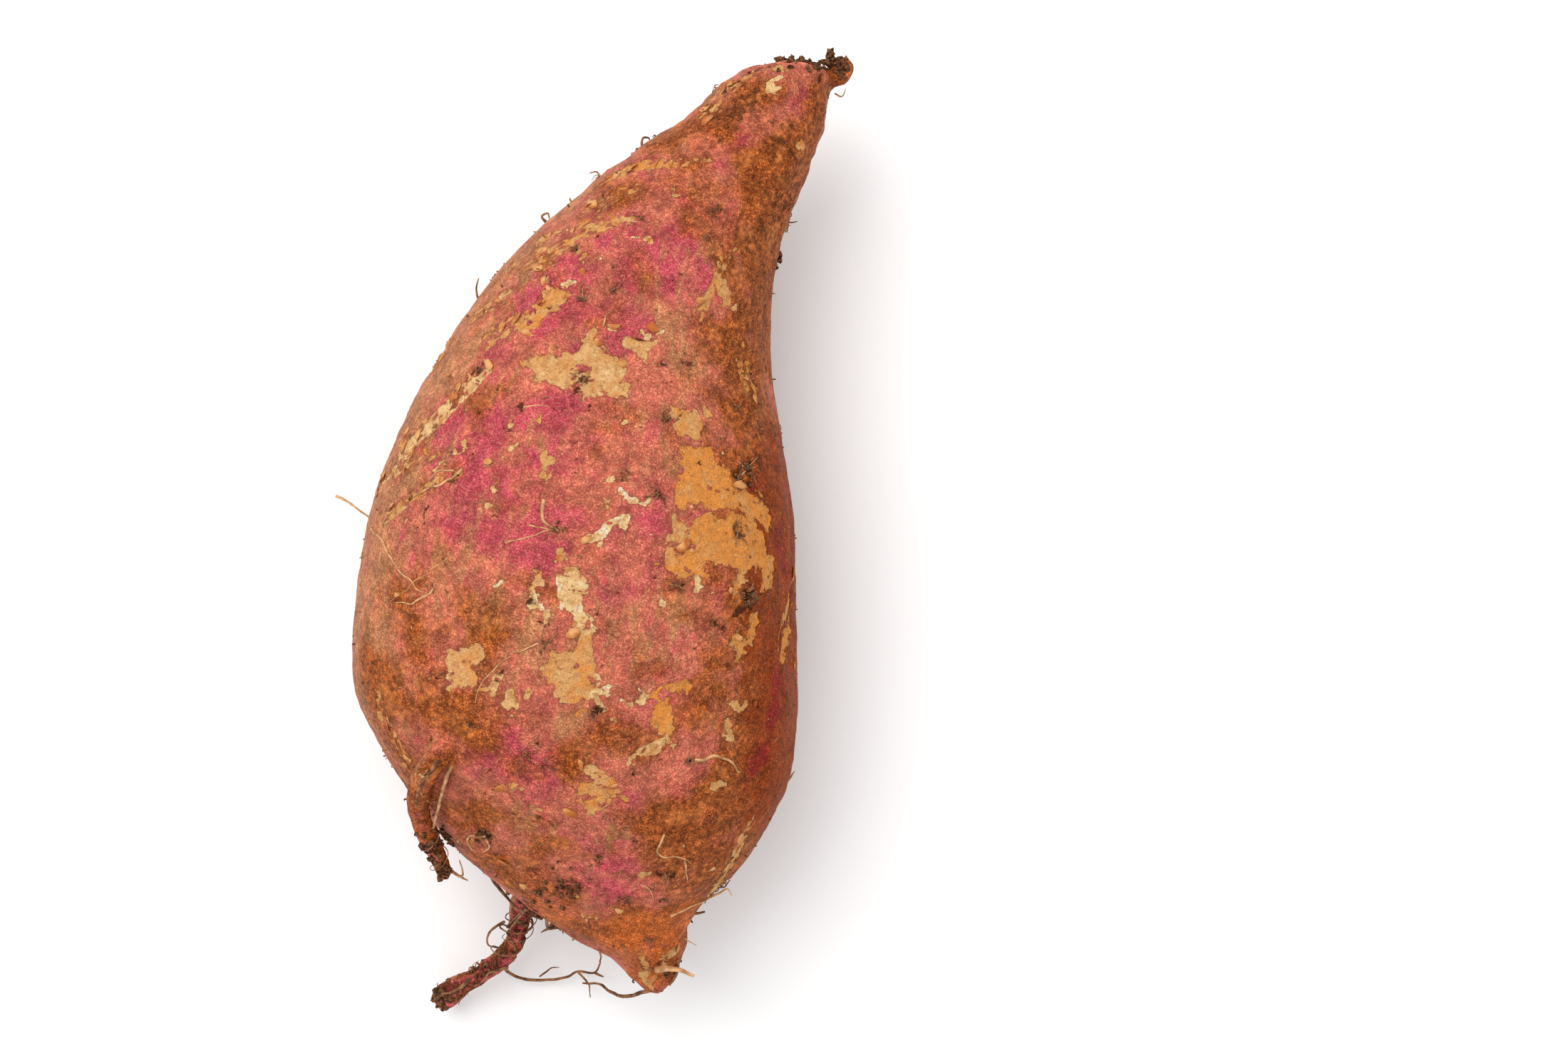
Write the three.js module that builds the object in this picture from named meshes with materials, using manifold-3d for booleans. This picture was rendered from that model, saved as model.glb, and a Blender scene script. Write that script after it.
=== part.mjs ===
// A sweet potato as it is dug: one plump storage root that narrows to a neck with a torn crown at one end and to
// a pointed tail at the other, with two stout side roots growing out of it. It grew as one piece, so it is one
// closed solid. It lies on its belly, on the small flat spot that a soft-skinned root takes under its own weight.
//
// Millimetres, +Z up. +Y runs from the tail to the crown, and +X is to the right seen from above. The origin is the
// middle of the bounding box's underside, on the table.
import * as THREE from "three";
import { mergeVertices } from "three/addons/utils/BufferGeometryUtils.js";
import Module from "manifold-3d";

const wasm = await Module();
wasm.setup();

// ---- Driving dimensions ----------------------------------------------------------------------------------------
const LENGTH = 185; // tail tip to crown, along Y
const WIDTH = 86; // across the belly, at its widest
const HEIGHT = 76; // table to the top of the back

const SIDE_ROOT_RADIUS = 2.3; // the stout roots, at half their length

// How finely the skin is divided: rings along the length, and points round each ring.
const BODY_RINGS = 46;
const BODY_POINTS = 44;
const ROOT_RINGS = 20;
const ROOT_POINTS = 12;

// ---- The body's lines ------------------------------------------------------------------------------------------
// One row for each station, as in a boat's table of offsets, from the tail tip to the crown.
// along: share of LENGTH from the middle of the body. left, right: the plan outline, shares of WIDTH from the long
// axis. belly, back: the side outline, shares of HEIGHT above the table. A belly below 0 is pressed flat by the table.
const STATIONS = [
  { along: -0.46, left: 0.38, right: 0.38, belly: 0.39, back: 0.39 },
  { along: -0.45, left: 0.34, right: 0.41, belly: 0.34, back: 0.43 },
  { along: -0.43, left: 0.28, right: 0.42, belly: 0.3, back: 0.48 },
  { along: -0.41, left: 0.17, right: 0.43, belly: 0.23, back: 0.55 },
  { along: -0.38, left: 0.03, right: 0.43, belly: 0.16, back: 0.62 },
  { along: -0.35, left: -0.09, right: 0.46, belly: 0.1, back: 0.7 },
  { along: -0.31, left: -0.2, right: 0.52, belly: 0.05, back: 0.79 },
  { along: -0.27, left: -0.28, right: 0.56, belly: 0.02, back: 0.87 },
  { along: -0.21, left: -0.38, right: 0.6, belly: 0, back: 0.94 },
  { along: -0.14, left: -0.43, right: 0.59, belly: -0.01, back: 0.98 },
  { along: -0.04, left: -0.45, right: 0.55, belly: -0.01, back: 1 },
  { along: 0.06, left: -0.42, right: 0.51, belly: 0, back: 0.98 },
  { along: 0.15, left: -0.36, right: 0.44, belly: 0.03, back: 0.92 },
  { along: 0.24, left: -0.28, right: 0.39, belly: 0.08, back: 0.84 },
  { along: 0.32, left: -0.18, right: 0.37, belly: 0.13, back: 0.77 },
  { along: 0.4, left: -0.04, right: 0.39, belly: 0.19, back: 0.69 },
  { along: 0.47, left: 0.12, right: 0.42, belly: 0.24, back: 0.63 },
  { along: 0.51, left: 0.18, right: 0.42, belly: 0.27, back: 0.6 },
  { along: 0.53, left: 0.24, right: 0.42, belly: 0.29, back: 0.57 },
  { along: 0.54, left: 0.29, right: 0.41, belly: 0.31, back: 0.55 },
  { along: 0.55, left: 0.35, right: 0.36, belly: 0.4, back: 0.44 },
];

// How full each ring's corners are: 2 is an ellipse, and more is squarer.
const FULLNESS = 2.12;

// Soft swellings and hollows of the skin, which keep the body from being a smooth spindle. along: as above. round:
// degrees from +X, over the back. reach: how far each one spreads, and rise: how far it lifts the skin, both in mm.
const SWELLINGS = [
  { along: -0.18, round: 118, reach: 20, rise: 1.4 },
  { along: 0.02, round: 62, reach: 17, rise: 1.1 },
  { along: 0.1, round: 128, reach: 15, rise: -1.2 },
  { along: 0.2, round: 80, reach: 13, rise: -0.9 },
  { along: 0.29, round: 112, reach: 12, rise: 1.0 },
  { along: 0.37, round: 50, reach: 10, rise: -0.9 },
  { along: 0.45, round: 100, reach: 8, rise: 0.8 },
  { along: -0.3, round: 92, reach: 13, rise: -0.9 },
  { along: -0.36, round: 50, reach: 9, rise: 0.7 },
  { along: -0.05, round: 190, reach: 16, rise: -1.2 },
  { along: 0.16, round: 330, reach: 18, rise: 1.2 },
  { along: 0.3, round: 250, reach: 14, rise: 1.1 },
  { along: -0.26, round: 300, reach: 14, rise: 1.0 },
];

// ---- What grows out of the body --------------------------------------------------------------------------------
// Each root's middle line from inside the body to its tip, as [x, y, z] in mm, and its thickness along that line,
// as shares of SIDE_ROOT_RADIUS.
const SIDE_ROOTS = [
  {
    // Springs from the left shoulder, arches over the flank and hangs beside it.
    line: [
      [-8, -36, 55],
      [-12, -40, 66],
      [-15, -45, 66],
      [-17, -51, 60],
      [-16, -57, 53],
      [-13, -63, 46],
      [-11, -67, 43],
    ],
    thickness: [1.7, 1.2, 1.05, 0.95, 0.85, 0.8, 0.7],
  },
  {
    // Grows out from under the tail end and lies out to the side, just above the table.
    line: [
      [9, -56, 27],
      [4, -66, 20],
      [3, -73, 16],
      [3, -80, 12],
      [2, -85, 9],
      [-3, -90, 8],
      [-7, -94, 7],
      [-10, -97, 6],
    ],
    thickness: [1.7, 1.3, 1.1, 1.05, 1, 0.9, 0.85, 1],
  },
];

// The stub of the old vine, beside the crown: a round knob on a short neck.
const KNOB = { at: [37.5, 100.5, 33], radius: 2.4, stretch: [1, 1.2, 1], tilt: -15 };
const KNOB_NECK = {
  line: [
    [29, 92, 32],
    [34, 97, 33],
    [36, 99, 33],
    [37, 100, 33],
  ],
  thickness: [1.6, 1.1, 0.8, 0.6],
};

// ---- Making solids ---------------------------------------------------------------------------------------------
// A closed skin over rings of points, with a point at each end.
function skinOver(rings, first, last) {
  const count = rings[0].length;
  const corners = [first, ...rings.flat(), last];
  const index = [];
  const at = (ring, k) => 1 + ring * count + (k % count);
  for (let k = 0; k < count; k++) {
    index.push(0, at(0, k + 1), at(0, k));
    for (let ring = 0; ring < rings.length - 1; ring++) {
      index.push(at(ring, k), at(ring, k + 1), at(ring + 1, k + 1));
      index.push(at(ring, k), at(ring + 1, k + 1), at(ring + 1, k));
    }
    index.push(corners.length - 1, at(rings.length - 1, k), at(rings.length - 1, k + 1));
  }
  return new THREE.BufferGeometry().setFromPoints(corners).setIndex(index);
}

// A closed geometry as a solid that can be joined and cut.
function solidOf(geometry) {
  const bare = geometry.clone();
  bare.deleteAttribute("normal");
  bare.deleteAttribute("uv");
  const merged = mergeVertices(bare, 1e-4);
  return new wasm.Manifold(
    new wasm.Mesh({
      numProp: 3,
      vertProperties: merged.attributes.position.array,
      triVerts: new Uint32Array(merged.index.array),
    }),
  );
}

// A solid as a geometry again.
function geometryOf(solid) {
  const mesh = solid.getMesh();
  const position = new THREE.BufferAttribute(new Float32Array(mesh.vertProperties), mesh.numProp);
  const geometry = new THREE.BufferGeometry().setAttribute("position", position);
  geometry.setIndex(new THREE.BufferAttribute(new Uint32Array(mesh.triVerts), 1));
  geometry.computeVertexNormals();
  return geometry;
}

// ---- The body --------------------------------------------------------------------------------------------------
// A smooth line through one pair of columns of STATIONS, at a share of the way from the tail to the crown.
function guideLine(x, z) {
  const points = STATIONS.map((s) => new THREE.Vector3(x(s) * WIDTH, s.along * LENGTH, z(s) * HEIGHT));
  return new THREE.CatmullRomCurve3(points, false, "catmullrom", 0.5);
}

const middleX = (s) => (s.left + s.right) / 2;
const middleZ = (s) => (s.belly + s.back) / 2;
const guides = {
  right: guideLine((s) => s.right, middleZ),
  back: guideLine(middleX, (s) => s.back),
  left: guideLine((s) => s.left, middleZ),
  belly: guideLine(middleX, (s) => s.belly),
};

// The point of the body's skin at a share of the way to the crown, and an angle round from +X over the back.
function skinPoint(share, angle) {
  const right = guides.right.getPoint(share);
  const left = guides.left.getPoint(share);
  const back = guides.back.getPoint(share);
  const belly = guides.belly.getPoint(share);
  const power = 2 / FULLNESS;
  const across = Math.sign(Math.cos(angle)) * Math.abs(Math.cos(angle)) ** power;
  const up = Math.sign(Math.sin(angle)) * Math.abs(Math.sin(angle)) ** power;
  return new THREE.Vector3(
    back.x + (across * (right.x - left.x)) / 2,
    back.y,
    right.z + (up * (back.z - belly.z)) / 2,
  );
}

// The share of the way to the crown that lies at this height along Y, by halving.
function shareAt(along) {
  let low = 0;
  let high = 1;
  for (let step = 0; step < 30; step++) {
    const middle = (low + high) / 2;
    if (guides.back.getPoint(middle).y < along * LENGTH) low = middle;
    else high = middle;
  }
  return low;
}

function makeBody() {
  const lumps = SWELLINGS.map((s) => ({
    centre: skinPoint(shareAt(s.along), THREE.MathUtils.degToRad(s.round)),
    reach: s.reach,
    rise: s.rise,
  }));
  const rings = [];
  for (let ring = 1; ring < BODY_RINGS; ring++) {
    const share = ring / BODY_RINGS;
    const axis = guides.back.getPoint(share).setZ(guides.right.getPoint(share).z);
    const points = [];
    for (let k = 0; k < BODY_POINTS; k++) {
      const point = skinPoint(share, (-2 * Math.PI * k) / BODY_POINTS);
      const outward = point.clone().sub(axis).normalize();
      let rise = 0;
      for (const lump of lumps) {
        rise += lump.rise * Math.exp(-point.distanceToSquared(lump.centre) / lump.reach ** 2);
      }
      points.push(point.addScaledVector(outward, rise));
    }
    rings.push(points);
  }
  return solidOf(skinOver(rings, skinPoint(0, 0), skinPoint(1, 0)));
}

// ---- Roots, knob and flat spot ---------------------------------------------------------------------------------
// A tapering round root along a line, with a rounded tip.
function makeRoot({ line, thickness }) {
  const curve = new THREE.CatmullRomCurve3(line.map((p) => new THREE.Vector3(...p)));
  const frames = curve.computeFrenetFrames(ROOT_RINGS);
  const radii = new THREE.CatmullRomCurve3(
    thickness.map((share, k) => new THREE.Vector3(k, share * SIDE_ROOT_RADIUS, 0)),
    false,
    "catmullrom",
    0.5,
  );
  const rings = [];
  for (let ring = 0; ring <= ROOT_RINGS; ring++) {
    const share = ring / ROOT_RINGS;
    const centre = curve.getPointAt(share);
    const radius = radii.getPoint(share).y;
    rings.push(ringRound(centre, frames.normals[ring], frames.binormals[ring], radius));
  }
  const end = curve.getPointAt(1);
  const radius = thickness.at(-1) * SIDE_ROOT_RADIUS;
  const out = frames.tangents[ROOT_RINGS];
  for (const turn of [30, 60]) {
    const angle = THREE.MathUtils.degToRad(turn);
    const centre = end.clone().addScaledVector(out, radius * Math.sin(angle));
    const width = radius * Math.cos(angle);
    rings.push(ringRound(centre, frames.normals[ROOT_RINGS], frames.binormals[ROOT_RINGS], width));
  }
  return solidOf(skinOver(rings, curve.getPointAt(0), end.clone().addScaledVector(out, radius)));
}

function ringRound(centre, normal, binormal, radius) {
  const points = [];
  for (let k = 0; k < ROOT_POINTS; k++) {
    const angle = (2 * Math.PI * k) / ROOT_POINTS;
    points.push(
      centre
        .clone()
        .addScaledVector(normal, radius * Math.cos(angle))
        .addScaledVector(binormal, radius * Math.sin(angle)),
    );
  }
  return points;
}

function makeKnob() {
  const ball = new THREE.SphereGeometry(KNOB.radius, 18, 12);
  ball.scale(...KNOB.stretch);
  ball.rotateZ(THREE.MathUtils.degToRad(KNOB.tilt));
  ball.translate(...KNOB.at);
  return solidOf(ball).add(makeRoot(KNOB_NECK));
}

// What the table presses flat: everything below it.
function makeTable() {
  const deep = HEIGHT;
  return solidOf(new THREE.BoxGeometry(4 * LENGTH, 4 * LENGTH, deep).translate(0, 0, -deep / 2));
}

let solid = makeBody();
for (const root of SIDE_ROOTS) solid = solid.add(makeRoot(root));
solid = solid.add(makeKnob()).subtract(makeTable());

// ---- The part --------------------------------------------------------------------------------------------------
const geometry = geometryOf(solid);
geometry.computeBoundingBox();
const middle = geometry.boundingBox.getCenter(new THREE.Vector3());
geometry.translate(-middle.x, -middle.y, 0);

const skin = new THREE.MeshStandardMaterial({ color: 0xb2503f, roughness: 0.62, metalness: 0 });
const sweetPotato = new THREE.Mesh(geometry, skin);
sweetPotato.name = "sweet_potato";

const part = new THREE.Group();
part.name = "part";
part.add(sweetPotato);

export default part;
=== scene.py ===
# %% [markdown]
# # A sweet potato, as dug
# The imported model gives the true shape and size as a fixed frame. This lesson dresses that frame: it makes
# a fine skin over it, marks the skin as soil and handling do, and adds the small things that cling to it.
# Blender works in metres, so a length in millimetres is multiplied by MM.

# %% Load the frame
import math
import random

import bpy
import numpy as np
from mathutils import Matrix, Vector, noise
from mathutils.bvhtree import BVHTree


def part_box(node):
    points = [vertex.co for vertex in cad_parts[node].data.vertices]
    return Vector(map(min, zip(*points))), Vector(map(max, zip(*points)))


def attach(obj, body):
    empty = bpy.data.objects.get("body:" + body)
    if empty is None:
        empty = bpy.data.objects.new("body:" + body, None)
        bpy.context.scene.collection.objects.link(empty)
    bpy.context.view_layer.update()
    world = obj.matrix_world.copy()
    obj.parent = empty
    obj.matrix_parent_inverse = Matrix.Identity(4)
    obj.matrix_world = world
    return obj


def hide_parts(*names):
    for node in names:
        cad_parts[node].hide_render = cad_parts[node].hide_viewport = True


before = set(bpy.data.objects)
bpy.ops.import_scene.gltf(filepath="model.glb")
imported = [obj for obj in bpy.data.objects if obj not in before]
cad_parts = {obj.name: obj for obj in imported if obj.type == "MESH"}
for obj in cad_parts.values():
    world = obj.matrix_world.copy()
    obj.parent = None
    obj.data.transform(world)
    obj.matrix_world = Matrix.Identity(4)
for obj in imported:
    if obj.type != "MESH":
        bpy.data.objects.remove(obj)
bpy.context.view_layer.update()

MM = 0.001
PART = "sweet_potato"
noise.seed_set(7)  # without a seed, noise_vector starts from the clock and every run differs
low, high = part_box(PART)
print("frame, mm:", [round((b - a) / MM) for a, b in zip(low, high)])

# %% [markdown]
# ## Camera
# A root lying on a table is looked at from straight above. A wide lens close by would make its middle bulge,
# so a longish lens stands well back. The camera is turned a little, so the root leans in the frame.

# %% Camera
VIEW_OVER = (34.9, 9.1)  # mm, the point of the table below the lens
VIEW_HEIGHT = 633  # mm
VIEW_TURN = 10  # degrees
LENS = 70  # mm
SENSOR = 36  # mm

camera_data = bpy.data.cameras.new("camera")
camera_data.lens = LENS
camera_data.sensor_width = SENSOR
camera = bpy.data.objects.new("camera", camera_data)
camera.location = (VIEW_OVER[0] * MM, VIEW_OVER[1] * MM, VIEW_HEIGHT * MM)
camera.rotation_euler = (0, 0, math.radians(VIEW_TURN))
bpy.context.scene.collection.objects.link(camera)
bpy.context.scene.camera = camera
bpy.context.scene.view_settings.view_transform = "Standard"
print("camera over", VIEW_OVER, "mm, looking down")

# %% [markdown]
# ## Wiring helpers
# A finish is a tree of small nodes: noise, ramps, sums and mixes. A maker could wire each tree by hand, but
# the same few links come back in every finish. So each kind of link is a short function here, and a finish
# then reads like a recipe. Numbers that are the same all over a piece are set on the shader itself.

# %% Wiring helpers for materials
def new_finish(name, roughness, specular):
    """A material with one shader, and the uniform numbers set on the shader itself."""
    finish = bpy.data.materials.new(name)
    finish.use_nodes = True
    shader = finish.node_tree.nodes["Principled BSDF"]
    shader.inputs["Roughness"].default_value = roughness
    shader.inputs["Specular IOR Level"].default_value = specular
    return finish, finish.node_tree, shader


def plug(tree, socket, value):
    """Gives a socket a number, a colour or another node's output."""
    if isinstance(value, bpy.types.NodeSocket):
        tree.links.new(value, socket)
    elif isinstance(value, tuple) and len(value) == 3 and socket.type == "RGBA":
        socket.default_value = (*value, 1)
    else:
        socket.default_value = value


def lumps(tree, size, detail=2.0, stretch=(1, 1, 1), seed=0, twist=0.0):
    """Soft noise from 0 to 1 with lumps of this size in mm."""
    place = tree.nodes.new("ShaderNodeTexCoord")
    scale = tree.nodes.new("ShaderNodeMapping")
    scale.inputs["Scale"].default_value = [s / (size * MM) for s in stretch]
    scale.inputs["Location"].default_value = (seed * 3.7, seed * 1.9, seed * 5.3)
    texture = tree.nodes.new("ShaderNodeTexNoise")
    texture.inputs["Scale"].default_value = 1
    texture.inputs["Detail"].default_value = detail
    texture.inputs["Distortion"].default_value = twist
    tree.links.new(place.outputs["Object"], scale.inputs["Vector"])
    tree.links.new(scale.outputs["Vector"], texture.inputs["Vector"])
    return texture.outputs["Fac"]


def step(tree, value, start, end, low_value=0.0, high_value=1.0):
    """Turns start..end smoothly into low_value..high_value."""
    ramp = tree.nodes.new("ShaderNodeMapRange")
    ramp.interpolation_type = "SMOOTHSTEP"
    for name, number in (("Value", value), ("From Min", start), ("From Max", end)):
        plug(tree, ramp.inputs[name], number)
    ramp.inputs["To Min"].default_value = low_value
    ramp.inputs["To Max"].default_value = high_value
    return ramp.outputs["Result"]


def sum_up(tree, kind, first, second):
    """One arithmetic node: ADD, MULTIPLY, SUBTRACT, MAXIMUM and so on."""
    maths = tree.nodes.new("ShaderNodeMath")
    maths.operation = kind
    plug(tree, maths.inputs[0], first)
    plug(tree, maths.inputs[1], second)
    return maths.outputs[0]


def blend_colours(tree, share, first, second, kind="MIX"):
    """Mixes two colours by a share from 0 to 1."""
    mixer = tree.nodes.new("ShaderNodeMix")
    mixer.data_type = "RGBA"
    mixer.blend_type = kind
    plug(tree, mixer.inputs["Factor"], share)
    plug(tree, mixer.inputs[6], first)
    plug(tree, mixer.inputs[7], second)
    return mixer.outputs[2]


def skin_value(tree, name):
    """Reads a number that was painted on the mesh's points."""
    reader = tree.nodes.new("ShaderNodeAttribute")
    reader.attribute_name = name
    return reader.outputs["Fac"]


def roughen(tree, shader, height, depth):
    """Bump for relief too fine for the mesh. depth is in mm."""
    bump = tree.nodes.new("ShaderNodeBump")
    bump.inputs["Strength"].default_value = 1
    bump.inputs["Distance"].default_value = depth * MM
    plug(tree, bump.inputs["Height"], height)
    tree.links.new(bump.outputs["Normal"], shader.inputs["Normal"])

print("helpers are ready")

# %% [markdown]
# ## Floor and light
# The table is one plain pale square, large enough to have no edge in view. It could be a bent backdrop, but
# from above no horizon shows. It lies a hair below the root's underside, so the two never fight for a place.


# %% Floor
FLOOR_REACH = 3.0  # metres from the middle to each edge
FLOOR_DROP = 0.2  # mm
TABLE_WHITE = (0.93, 0.925, 0.92)
TABLE_WHITER = (0.95, 0.945, 0.94)


def make_floor():
    reach = FLOOR_REACH
    mesh = bpy.data.meshes.new("floor")
    corners = [(-reach, -reach, 0), (reach, -reach, 0), (reach, reach, 0), (-reach, reach, 0)]
    mesh.from_pydata(corners, [], [(0, 1, 2, 3)])
    finish, tree, shader = new_finish("white_table", 0.7, 0.2)
    tone = lumps(tree, 60)
    plug(tree, shader.inputs["Base Color"], blend_colours(tree, tone, TABLE_WHITE, TABLE_WHITER))
    mesh.materials.append(finish)
    floor = bpy.data.objects.new("floor", mesh)
    floor.location.z = -FLOOR_DROP * MM
    bpy.context.scene.collection.objects.link(floor)


make_floor()
print("the floor reaches", FLOOR_REACH, "m each way")

# %% [markdown]
# The panel is nearly a metre wide, because a wide light gives a soft shadow. The even surround fills what
# the panel leaves dark. A small lamp would pick out the pebbles better, but its shadow would be hard.


# %% Lights
SURROUND = (0.97, 0.985, 1.0, 1)
SURROUND_STRENGTH = 0.95
PANEL_SIZE = 0.9  # metres
PANEL_WATTS = 9
PANEL_COLOUR = (1.0, 0.985, 0.96)
PANEL_PLACE = (-0.45, 0.4, 1.1)  # metres
PANEL_AIM = (0, 0, 0.03)


def make_lights():
    world = bpy.data.worlds.new("studio")
    world.use_nodes = True
    surround = world.node_tree.nodes["Background"]
    surround.inputs["Color"].default_value = SURROUND
    surround.inputs["Strength"].default_value = SURROUND_STRENGTH
    bpy.context.scene.world = world
    panel_data = bpy.data.lights.new("soft_panel", "AREA")
    panel_data.size = PANEL_SIZE
    panel_data.energy = PANEL_WATTS
    panel_data.color = PANEL_COLOUR
    panel = bpy.data.objects.new("soft_panel", panel_data)
    panel.location = PANEL_PLACE
    aim = Vector(PANEL_AIM) - panel.location
    panel.rotation_euler = aim.to_track_quat("-Z", "Y").to_euler()
    bpy.context.scene.collection.objects.link(panel)


make_lights()
print("a panel of", PANEL_WATTS, "W in an even surround")

# %% [markdown]
# ## The skin as a fine mesh
# The frame's solid has flat facets a few millimetres across. A potter would smooth a rough clay form by
# wiping it. Here a voxel remesh cuts the form into small even squares, and then each point is moved towards
# the average of its neighbours, and a little back again, so the facets go but thin roots don't shrink.

# %% Remesh and wipe smooth
VOXEL = 0.77  # mm
WIPE_ROUNDS = 45
WIPE_IN = 0.6
WIPE_OUT = -0.62


def finely_meshed(source, voxel):
    skin = bpy.data.objects.new("skin", source.data.copy())
    bpy.context.scene.collection.objects.link(skin)
    remesh = skin.modifiers.new("Remesh", "REMESH")
    remesh.mode = "VOXEL"
    remesh.voxel_size = voxel * MM
    ready = skin.evaluated_get(bpy.context.evaluated_depsgraph_get())
    mesh = bpy.data.meshes.new_from_object(ready)
    skin.modifiers.clear()
    skin.data = mesh
    return skin


def neighbour_mean(values, edges, counts):
    total = np.empty_like(values)
    for axis in range(3):
        column = values[:, axis]
        total[:, axis] = np.bincount(edges[:, 0], column[edges[:, 1]], len(values))
        total[:, axis] += np.bincount(edges[:, 1], column[edges[:, 0]], len(values))
    return total / counts[:, None]


skin = finely_meshed(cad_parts[PART], VOXEL)
points = np.empty(len(skin.data.vertices) * 3)
skin.data.vertices.foreach_get("co", points)
points = points.reshape(-1, 3) / MM
edges = np.empty(len(skin.data.edges) * 2, int)
skin.data.edges.foreach_get("vertices", edges)
edges = edges.reshape(-1, 2)
counts = np.maximum(np.bincount(edges.ravel(), minlength=len(points)), 1)
for _ in range(WIPE_ROUNDS):
    for pull in (WIPE_IN, WIPE_OUT):
        points += pull * (neighbour_mean(points, edges, counts) - points)
skin.data.vertices.foreach_set("co", (points * MM).ravel())
skin.data.update()
normals = np.empty(len(points) * 3)
skin.data.vertices.foreach_get("normal", normals)
normals = normals.reshape(-1, 3)
print("skin:", len(points), "points")

# %% [markdown]
# ## Finding places on the skin
# Every mark below is given in plan, in millimetres from the frame's middle: the first number is to the
# right, the second towards the crown. A ray dropped on to the skin finds the height, so a mark always lies
# on the skin itself. Past the outline the nearest point of the flank is taken instead.

# %% Drop a place on to the skin
tree_of_skin = BVHTree.FromObject(skin, bpy.context.evaluated_depsgraph_get())
ABOVE = 200  # mm
FLANK_HEIGHT = 33  # mm, about where the outline is widest


def on_skin(x, y):
    """The point and outward direction of the skin below this place, in mm."""
    start = Vector((x, y, ABOVE)) * MM
    point, normal, _, _ = tree_of_skin.ray_cast(start, Vector((0, 0, -1)))
    if point is None:
        point, normal, _, _ = tree_of_skin.find_nearest(Vector((x, y, FLANK_HEIGHT)) * MM)
    return np.array(point) / MM, np.array(normal)


def nearest_skin(place):
    """The point of the skin nearest to this place, and its outward direction, in mm."""
    point, normal, _, _ = tree_of_skin.find_nearest(Vector(place) * MM)
    return np.array(point) / MM, np.array(normal)


def bar(x0, y0, x1, y1, half_width):
    """A rounded bar lying on the skin, the building block of every patch."""
    return on_skin(x0, y0)[0], on_skin(x1, y1)[0], half_width


FAR = 50.0  # mm, further than any bar matters


def how_far(bars, places=None):
    """How far each point of the skin is outside a set of bars, in mm. Inside is below 0."""
    places = warped if places is None else places
    nearest = np.full(len(points), FAR)
    for start, end, half_width in bars:
        along = end - start
        share = np.clip((places - start) @ along / max(along @ along, 1e-6), 0, 1)
        away = np.linalg.norm(places - start - share[:, None] * along, axis=1) - half_width
        nearest = np.minimum(nearest, away)
    return nearest


def grain(size, seed, stretch=(1, 1, 1)):
    """Soft noise from about -1 to 1 on the skin, with lumps of this size in mm."""
    shift = Vector((seed * 17.3, seed * 5.1, seed * 9.7))
    places = points * (np.array(stretch) / size)
    return np.array([noise.noise(Vector(p) + shift) for p in places])


def bell(away, reach):
    """1 at the middle, fading softly to 0 beyond this reach."""
    return np.exp(-((away / reach) ** 2))


def ease(value, start, end):
    """0 below start, 1 above end, smooth between."""
    share = np.clip((value - start) / (end - start), 0, 1)
    return share * share * (3 - 2 * share)


# Patches are torn, not cut: the places are shaken a little before distances are measured.
shake = np.stack([grain(3.4, seed) for seed in (1, 2, 3)], axis=1) * 1.5
shake += np.stack([grain(1.3, seed) for seed in (4, 5, 6)], axis=1) * 0.8
warped = points + shake
print("middle of the back is", round(on_skin(0, 0)[0][2], 1), "mm up")

# %% [markdown]
# ## Where the skin has flaked
# The thin red skin of a sweet potato rubs off in dry flakes, and the flesh below dries to orange, tan or
# cream. It could be painted as a picture, but then it would blur up close. Instead each patch is a few
# rounded bars laid on the skin with a torn edge. The first number says how pale the flesh has dried.

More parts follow.
